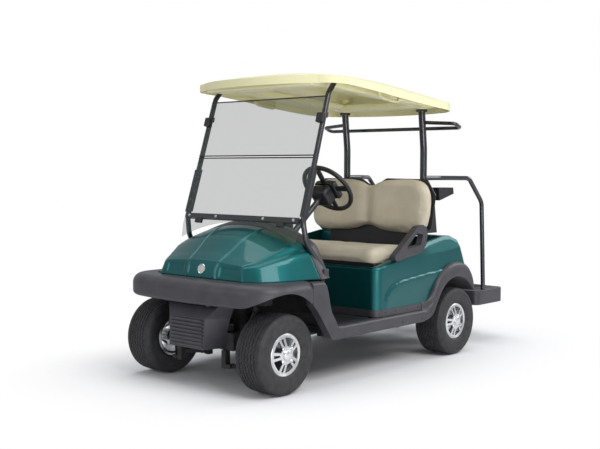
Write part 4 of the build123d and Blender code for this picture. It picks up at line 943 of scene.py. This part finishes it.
def hardware(name, parts, material, body="chassis", ease_mm=0.0, slot="black steel"):
    """One piece from many parts, with its edges eased by that much."""
    made = piece(name, *gather(parts), material, body, 40, slot)
    if ease_mm:
        ease(made, ease_mm, 3, 35)
    return made


def world_points(node):
    """The points of a CAD node as rows of an array, in metres."""
    turn = cad[node].matrix_world
    return np.array([turn @ v.co for v in cad[node].data.vertices])


# heads of fasteners: distance from the axis, distance along it, mm
SCREW_HEAD = [(5, -1), (5, 1.2), (4.2, 2.4), (2.2, 3.0), (0.4, 3.1)]
BOLT_HEAD = [(9, -2), (9, 1), (6.8, 1.2), (6.8, 5.4), (6.0, 6.2), (0.4, 6.3)]
HEX_HEAD = [(5.5, -3), (5.5, 3), (0.3, 4)]

# %% [markdown]
# ## Wheels
# Four chromed nuts and a plain centre cap sit on the outer face of each
# cast rim and turn with it.

# %% Caps and nuts
CAP = [(31, -6), (31, 2), (28, 5), (20, 7), (0.4, 8)]
NUT = [(9.5, -4), (9.5, 2), (8.0, 7), (5.0, 9), (0.4, 9.5)]
CAP_ZONE = (0.0, 0.028)  # distances from the axle where the cap sits
NUT_ZONE = (0.040, 0.060)
NUT_CIRCLE = 0.050
DIAGONALS = np.radians([45, 135, 225, 315])
for corner, centre in WHEELS.items():
    side = 1 if "left" in corner else -1
    axis = (0, side, 0)
    rim = world_points("rim_" + corner)
    out = np.hypot(rim[:, 0] - centre.x, rim[:, 2] - centre.z)
    face_y, seat_y = (
        (side * rim[(low <= out) & (out < high), 1]).max()
        for low, high in (CAP_ZONE, NUT_ZONE)
    )
    cap = turned_part((centre.x, side * (face_y - 0.002), centre.z), axis, CAP, 40)
    hardware("centre_cap_" + corner, [cap], cast_alloy, "wheel_" + corner, 0.6, "alloy")
    nuts = []
    for a in DIAGONALS:
        x, z = centre.x + NUT_CIRCLE * math.cos(a), centre.z + NUT_CIRCLE * math.sin(a)
        nuts.append(turned_part((x, side * (seat_y - 0.001), z), axis, NUT, 6))
    hardware("wheel_nuts_" + corner, nuts, bright_chrome, "wheel_" + corner, 0.5, "alloy")
print("wheel faces at", [round(face_y, 3), round(seat_y, 3)])

# %% [markdown]
# ## Nose
# The nose carries a plain round badge in a chromed ring.

# %% Badge
BADGE_PLACE = (front_x(121.5), 0, 0.678)
BADGE_AXIS = (1, 0, 0.28)
BADGE_RING = [(24, -6), (30, -6), (30, 2.0), (28.5, 3.6), (26, 3.6), (24.5, 2.2)]
BADGE_DISC = [(25, -5), (25, 1.4), (14, 2.2), (0.4, 2.6)]
for name, profile, metal in (
    ("badge_ring", BADGE_RING, bright_chrome), ("badge_disc", BADGE_DISC, cast_alloy),
):
    turned = turned_part(BADGE_PLACE, BADGE_AXIS, profile, 48)
    hardware(name, [turned], metal, slot="alloy")

# %% [markdown]
# ## Windshield hardware
# Two black seams part the panes and a third edges the top. Clips hold the
# glass, and four screws hold the bar.

# %% Seams and clips
RAKE = 0.315  # metres back for each metre up
slope = Vector((-RAKE, 0, 1)).normalized()
outward = Vector((1, 0, RAKE)).normalized()
glass_foot = Vector((front_x(-210), 0, 0.956)) + outward * 0.0163
SEAMS = [
    # distance up the pane, width, height
    (0.3795, 0.968, 0.007), (0.3925, 0.968, 0.007), (0.7535, 0.960, 0.006),
]
CLIPS = [
    # out from the middle, up the pane, in front of it, size
    (0.345, -0.030, 0.012, (0.030, 0.052, 0.022)),
    (0.474, 0.622, 0.002, (0.056, 0.050, 0.030)),
]
BAR_SCREWS_Y = (0.20, 0.44)


def on_glass(y, v, out):
    """A point on the glass: y across, v up the pane from the bar, out in front."""
    return glass_foot + slope * v + outward * out + Vector((0, y, 0))


seams = [
    box_part(on_glass(0, v, 0.0025), (high, wide, 0.0075), outward, slope)
    for v, wide, high in SEAMS
]
hardware("pane_seams", seams, black_nylon, ease_mm=1.0)
clips = [
    box_part(on_glass(side * y, v, out), size, outward, slope)
    for side in (1, -1)
    for y, v, out, size in CLIPS
]
hardware("glass_clips", clips, black_nylon, ease_mm=3.0)
heads = [
    turned_part(on_glass(side * y, 0.0, 0.0135), outward, BOLT_HEAD)
    for side in (1, -1)
    for y in BAR_SCREWS_Y
]
hardware("bar_screws", heads, zinc_plate, ease_mm=0.4, slot="alloy")

# %% [markdown]
# ## Steering wheel
# The wheel is a thick moulded rim on three spokes. A broad square pad hides
# its hub, and a pod behind it closes the column.

# %% Rim, spokes and pad
STEER_MIDDLE = Vector((front_x(-706), 0.255, 1.136))
STEER_TILT = math.radians(39.5)
RIM_RADIUS, GRIP_RADIUS = 0.166, 0.0148
SPOKE_DEGREES, SPOKE_REACH = (4, 176, 270), 0.105  # from the cart's left, up
steer_axis = Vector((-math.cos(STEER_TILT), 0, math.sin(STEER_TILT)))
face_up = Vector((math.sin(STEER_TILT), 0, math.cos(STEER_TILT)))
face_left = Vector((0, 1, 0))


def steer_box(up, out, size, roll_to=face_up):
    """A box that far up the wheel's plane and out along its axis."""
    return box_part(STEER_MIDDLE + up + steer_axis * out, size, steer_axis, roll_to)


ring = circle(STEER_MIDDLE, face_left, face_up, RIM_RADIUS, 96)
rim = tube_part(ring, GRIP_RADIUS, 20, closed=True)
hardware("steering_rim", [rim], black_nylon, "steering_wheel", slot="grip")
pad = steer_box(face_up * -0.012, 0.004, (0.120, 0.158, 0.046))
hardware("horn_pad", [pad], black_nylon, "steering_wheel", 14, "grip")
spokes = []
for a in np.radians(SPOKE_DEGREES):
    way = math.cos(a) * face_left + math.sin(a) * face_up
    spokes.append(steer_box(way * SPOKE_REACH, -0.006, (0.110, 0.034, 0.012), way))
hardware("wheel_spokes", spokes, black_nylon, "steering_wheel", 5, "grip")
pod = steer_box(face_up * -0.004, -0.062, (0.118, 0.128, 0.085))
hardware("column_pod", [pod], black_nylon, "chassis", 22, "black plastic")

# %% [markdown]
# ## Painted rear body
# The real flanks carry two feature lines: above the upper one the flank
# leans in, below the lower one a shallow bulge stands out. The CAD mesh is
# cut into a fine grid there, and its points slide by a few millimetres.


# %% Helpers for feature lines
def ramp(value, low, high):
    """0 below low, 1 above high, smooth between; works on arrays too."""
    t = np.clip((value - low) / (high - low), 0, 1)
    return t * t * (3 - 2 * t)


def sliced(source, name, planes, least_y):
    """A copy of a mesh, cut beyond least_y by planes given as (axis, place)."""
    made = bpy.data.objects.new(name, source.data.copy())
    scene.collection.objects.link(made)
    with edited(made.data) as work:
        for axis, place in planes:
            normal = Vector([float(k == axis) for k in range(3)])
            faces = [f for f in work.faces if abs(f.calc_center_median().y) > least_y]
            around = {e for f in faces for e in f.edges} | {v for f in faces for v in f.verts}
            bmesh.ops.bisect_plane(
                work, geom=[*faces, *around], plane_co=normal * place, plane_no=normal,
                dist=1e-6,
            )
    return made


# %% Flanks with two feature lines
# each line: mm ahead of the rear axle, height
FOLD = np.array([(-140, 738), (-82, 730), (85, 710), (312, 697), (507, 685), (673, 670)])
SWAGE = np.array([
    (-140, 604), (129, 592), (376, 577), (609, 556), (683, 541), (739, 514), (778, 478),
    (796, 440), (806, 395),
])
FOLD_LEAN, SWAGE_DEPTH = 0.30, 7.0
RIM_Y, FLANK_Y = 532, 566  # points further out than these lean in, and bulge
FLANK_LEAST_Y = 0.545  # metres; only faces further out are cut
planes = [(0, rear_x(x)) for x in range(-110, 812, 12)]
planes += [(2, z * MM) for z in range(400, 808, 8)]
body = sliced(cad["rear_body"], "painted_rear_body", planes, FLANK_LEAST_Y)
points = read_points(body)
x, y, z = columns_mm(points)
y = np.abs(y)
over = z - np.interp(x, *FOLD.T)
lean = FOLD_LEAN * np.maximum(over, 0) * (1 - ramp(x, 250, 440))
lean *= 1 - ramp(-x, 60, 140) * 0.6
depth = np.interp(x, *SWAGE.T) - z
bulge = SWAGE_DEPTH * ramp(depth, -2, 7) * (1 - ramp(depth, 25, 175))
bulge *= 1 - ramp(x, 770, 806)
held = np.clip((y - RIM_Y) / 43, 0, 1)
moved = y - lean * held + np.where(y > FLANK_Y, bulge, 0)
points[:, 1] = np.where(y > RIM_Y, np.sign(points[:, 1]) * moved * MM, points[:, 1])
write_points(body, points)
dress(body, green_paint, "chassis", 32, "painted body")
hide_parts("rear_body")
print("rear body faces:", len(body.data.polygons))

# %% [markdown]
# ## Wheel arch mouldings
# The arch over each rear wheel is one grey moulding: level with the sill
# in front, then a crowned band with a rounded lip and an inner flange.

# %% Rear arches
ARCH = np.array([
    # outer edge x, z, inner edge x, z, from the seam with the sill back
    (398, 392, 398, 272), (366, 394, 352, 278), (336, 402, 318, 294), (306, 424, 287, 325),
    (280, 462, 266, 366), (252, 507, 240, 405), (210, 552, 205, 450), (160, 588, 152, 497),
    (100, 617, 90, 524), (40, 630, 30, 534), (-22, 631, -20, 531), (-78, 624, -70, 517),
    (-128, 604, -112, 496), (-164, 572, -146, 470), (-194, 520, -170, 447),
    (-216, 440, -187, 425),
], float)
ARCH_ROWS, ARCH_THICK = 120, 3.0
# share of the way from the inner to the outer edge, and how far it stands out
CROWNED = np.array([
    (0, 0.80), (0.03, 0.93), (0.08, 1.0), (0.3, 1.0), (0.6, 0.93), (0.8, 0.78),
    (0.9, 0.60), (0.96, 0.36), (1, 0.0),
])
LEVEL = np.array([
    (0, 0.55), (0.06, 0.80), (0.3, 0.80), (0.46, 0.76), (0.57, 0.55), (0.63, 0.20),
    (0.7, 0.14), (0.96, 0.14), (1, 0.0),
])
# points across the band, closer together at its two edges
SHARES = np.array([
    0, 0.015, 0.03, 0.05, 0.08, *np.linspace(0.12, 0.8, 16), 0.84, 0.88, 0.91, 0.94,
    0.965, 0.985, 1.0,
])
FLANK, OUT, LINER_IN = 575.0, 37.0, 365.0
FLANGE_IN, FLANGE_OUT = 40.0, 20.0
arch_rows = smooth_through(ARCH, ARCH_ROWS)
for side, corner in ((1, "left"), (-1, "right")):
    grid = []
    for row, (xo, zo, xi, zi) in enumerate(arch_rows):
        way = row / (ARCH_ROWS - 1)
        crowned = ramp(way, 0.03, 0.30)
        # the inner flange, from the back of the wheel house out to the lip
        back_y = FLANK - FLANGE_IN
        back_y += (LINER_IN - back_y) * ramp(way, 0.26, 0.34)
        lip_y = FLANK + FLANGE_OUT
        line = [
            (xi, back_y + (lip_y - back_y) * share, zi + 1.0) for share in (0.0, 0.5, 0.97)
        ]
        stand = crowned * np.interp(SHARES, *CROWNED.T)
        stand += (1 - crowned) * np.interp(SHARES, *LEVEL.T)
        for share, y in zip(SHARES, FLANK + OUT * stand):
            line.append((xi + (xo - xi) * share, y, zi + (zo - zi) * share))
        grid.append([(rear_x(x), side * y * MM, z * MM) for x, y, z in line])
    grid = np.array(grid)
    arch = piece(
        f"arch_moulding_{corner}", grid.reshape(-1, 3), grid_faces(*grid.shape[:2]),
        grey_moulding, "chassis", 50, "dark trim",
    )
    thicken(arch, ARCH_THICK)
    if side == 1:
        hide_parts("rear_flares")
print("arch faces:", len(arch.data.polygons))

# %% [markdown]
# ## Fasteners
# Screws hold the base trim and the sills to the body.

# %% Screws
SIDE_SCREWS = [
    # mm ahead of the rear axle, distance out, height
    *((x, 0.578, 0.369) for x in (440, 560, 680, 790)),
    *((x, 0.604, 0.296) for x in (425, 640)),
]
screws = [
    turned_part((rear_x(x), side * y, z), (0, side, 0), SCREW_HEAD, 16)
    for side in (1, -1)
    for x, y, z in SIDE_SCREWS
]
for y in (-0.42, -0.14, 0.14, 0.42):
    screws.append(turned_part((rear_x(878), y, 0.369), (1, 0, 0), SCREW_HEAD, 16))
hardware("trim_screws", screws, black_nylon, ease_mm=0.3, slot="black plastic")

# %% [markdown]
# ## Roof lining
# Under the roof, a header in two steps crosses behind the windshield, a
# beam crosses over the rear posts, and two stiffening ribs join them.

# %% Header, beam and ribs
CROSS_MEMBERS = [
    # x, height, and size
    (front_x(-405), 1.7655, (0.150, 0.890, 0.055)),
    (front_x(-500), 1.7780, (0.060, 0.860, 0.050)),
    (rear_x(70), 1.6990, (0.140, 0.800, 0.048)),
]
RIB_WIDTH, RIB_DEPTH = 0.085, 0.045
lining = [box_part((x, 0, z), size) for x, z, size in CROSS_MEMBERS]
hardware("roof_cross_members", lining, cream_abs, ease_mm=16, slot="cream plastic")
ribs = []
for side in (1, -1):
    start = Vector((front_x(-500), side * 0.36, 1.775))
    end = Vector((rear_x(120), side * 0.34, 1.706))
    along = end - start
    size, axis = (along.length, RIB_WIDTH, RIB_DEPTH), along.cross((0, 1, 0))
    ribs.append(box_part((start + end) / 2, size, axis, along))
hardware("roof_ribs", ribs, cream_abs, ease_mm=14, slot="cream plastic")

# %% [markdown]
# ## Cabin hardware
# A grab handle hangs under each side of the roof, a block closes the cowl
# beside each strut, and the mat is ribbed.

# %% Handles, cowl blocks and mat ribs
HANDLE_RADIUS, HANDLE_SIDE = 0.011, 0.530
HANDLE_LINE = [
    # mm ahead of the front axle, height
    (-860, 1.735), (-872, 1.708), (-900, 1.697), (-1040, 1.680), (-1068, 1.689),
    (-1080, 1.722),
]
RIB_PITCH, RIB_SIZE = 0.016, (0.007, 0.0036)  # of the mat; width, height
MAT_MARGIN = 0.02
handles, blocks = [], []
for side in (1, -1):
    line = [(front_x(x), side * HANDLE_SIDE, z) for x, z in HANDLE_LINE]
    handles.append(tube_part(line, HANDLE_RADIUS))
    blocks.append(box_part((front_x(-352), side * 0.532, 0.655), (0.040, 0.034, 0.050)))
hardware("roof_handles", handles, cream_abs, slot="cream plastic")
hardware("cowl_blocks", blocks, grey_moulding, ease_mm=5, slot="dark trim")
mat = world_points("floor_mat")
low, high = mat.min(axis=0), mat.max(axis=0)
rib_length = high[1] - low[1] - 2 * MAT_MARGIN
mat_ribs = [
    box_part((x, 0, high[2] + 0.0008), (RIB_SIZE[0], rib_length, RIB_SIZE[1]))
    for x in np.arange(low[0] + 0.012, high[0] - 0.006, RIB_PITCH)
]
hardware("mat_ribs", mat_ribs, mat_rubber, ease_mm=0.8, slot="mat rubber")
print("mat ribs:", len(mat_ribs))

# %% [markdown]
# The rear step has raised tread bars, and bolts hold the rear posts.

# %% Step tread and post bolts
TREAD_BARS, TREAD_PITCH, TREAD_REAR = 9, 32, -770
TREAD_SIZE, TREAD_HEIGHT = (0.012, 0.74, 0.005), 0.3845
CUP_X, CUP_SIDE, CUP_CIRCLE, CUP_FOOT = rear_x(64), 0.336, 0.030, 1.650
POST_OUTSIDE, POST_BOLT_HEIGHTS = 0.3605, (0.86, 0.98, 1.08)
tread = [
    box_part((rear_x(TREAD_REAR + TREAD_PITCH * k), 0, TREAD_HEIGHT), TREAD_SIZE)
    for k in range(TREAD_BARS)
]
hardware("step_tread", tread, grey_moulding, ease_mm=1.5, slot="dark trim")
bolts = []
for side in (1, -1):
    for a in DIAGONALS:
        x, y = CUP_X + CUP_CIRCLE * math.cos(a), side * CUP_SIDE + CUP_CIRCLE * math.sin(a)
        bolts.append(turned_part((x, y, CUP_FOOT), (0, 0, -1), HEX_HEAD, 6))
    for z in POST_BOLT_HEIGHTS:
        place = (rear_x(0), side * POST_OUTSIDE, z)
        bolts.append(turned_part(place, (0, side, 0), BOLT_HEAD, 16))
hardware("post_bolts", bolts, zinc_plate, ease_mm=0.3, slot="alloy")
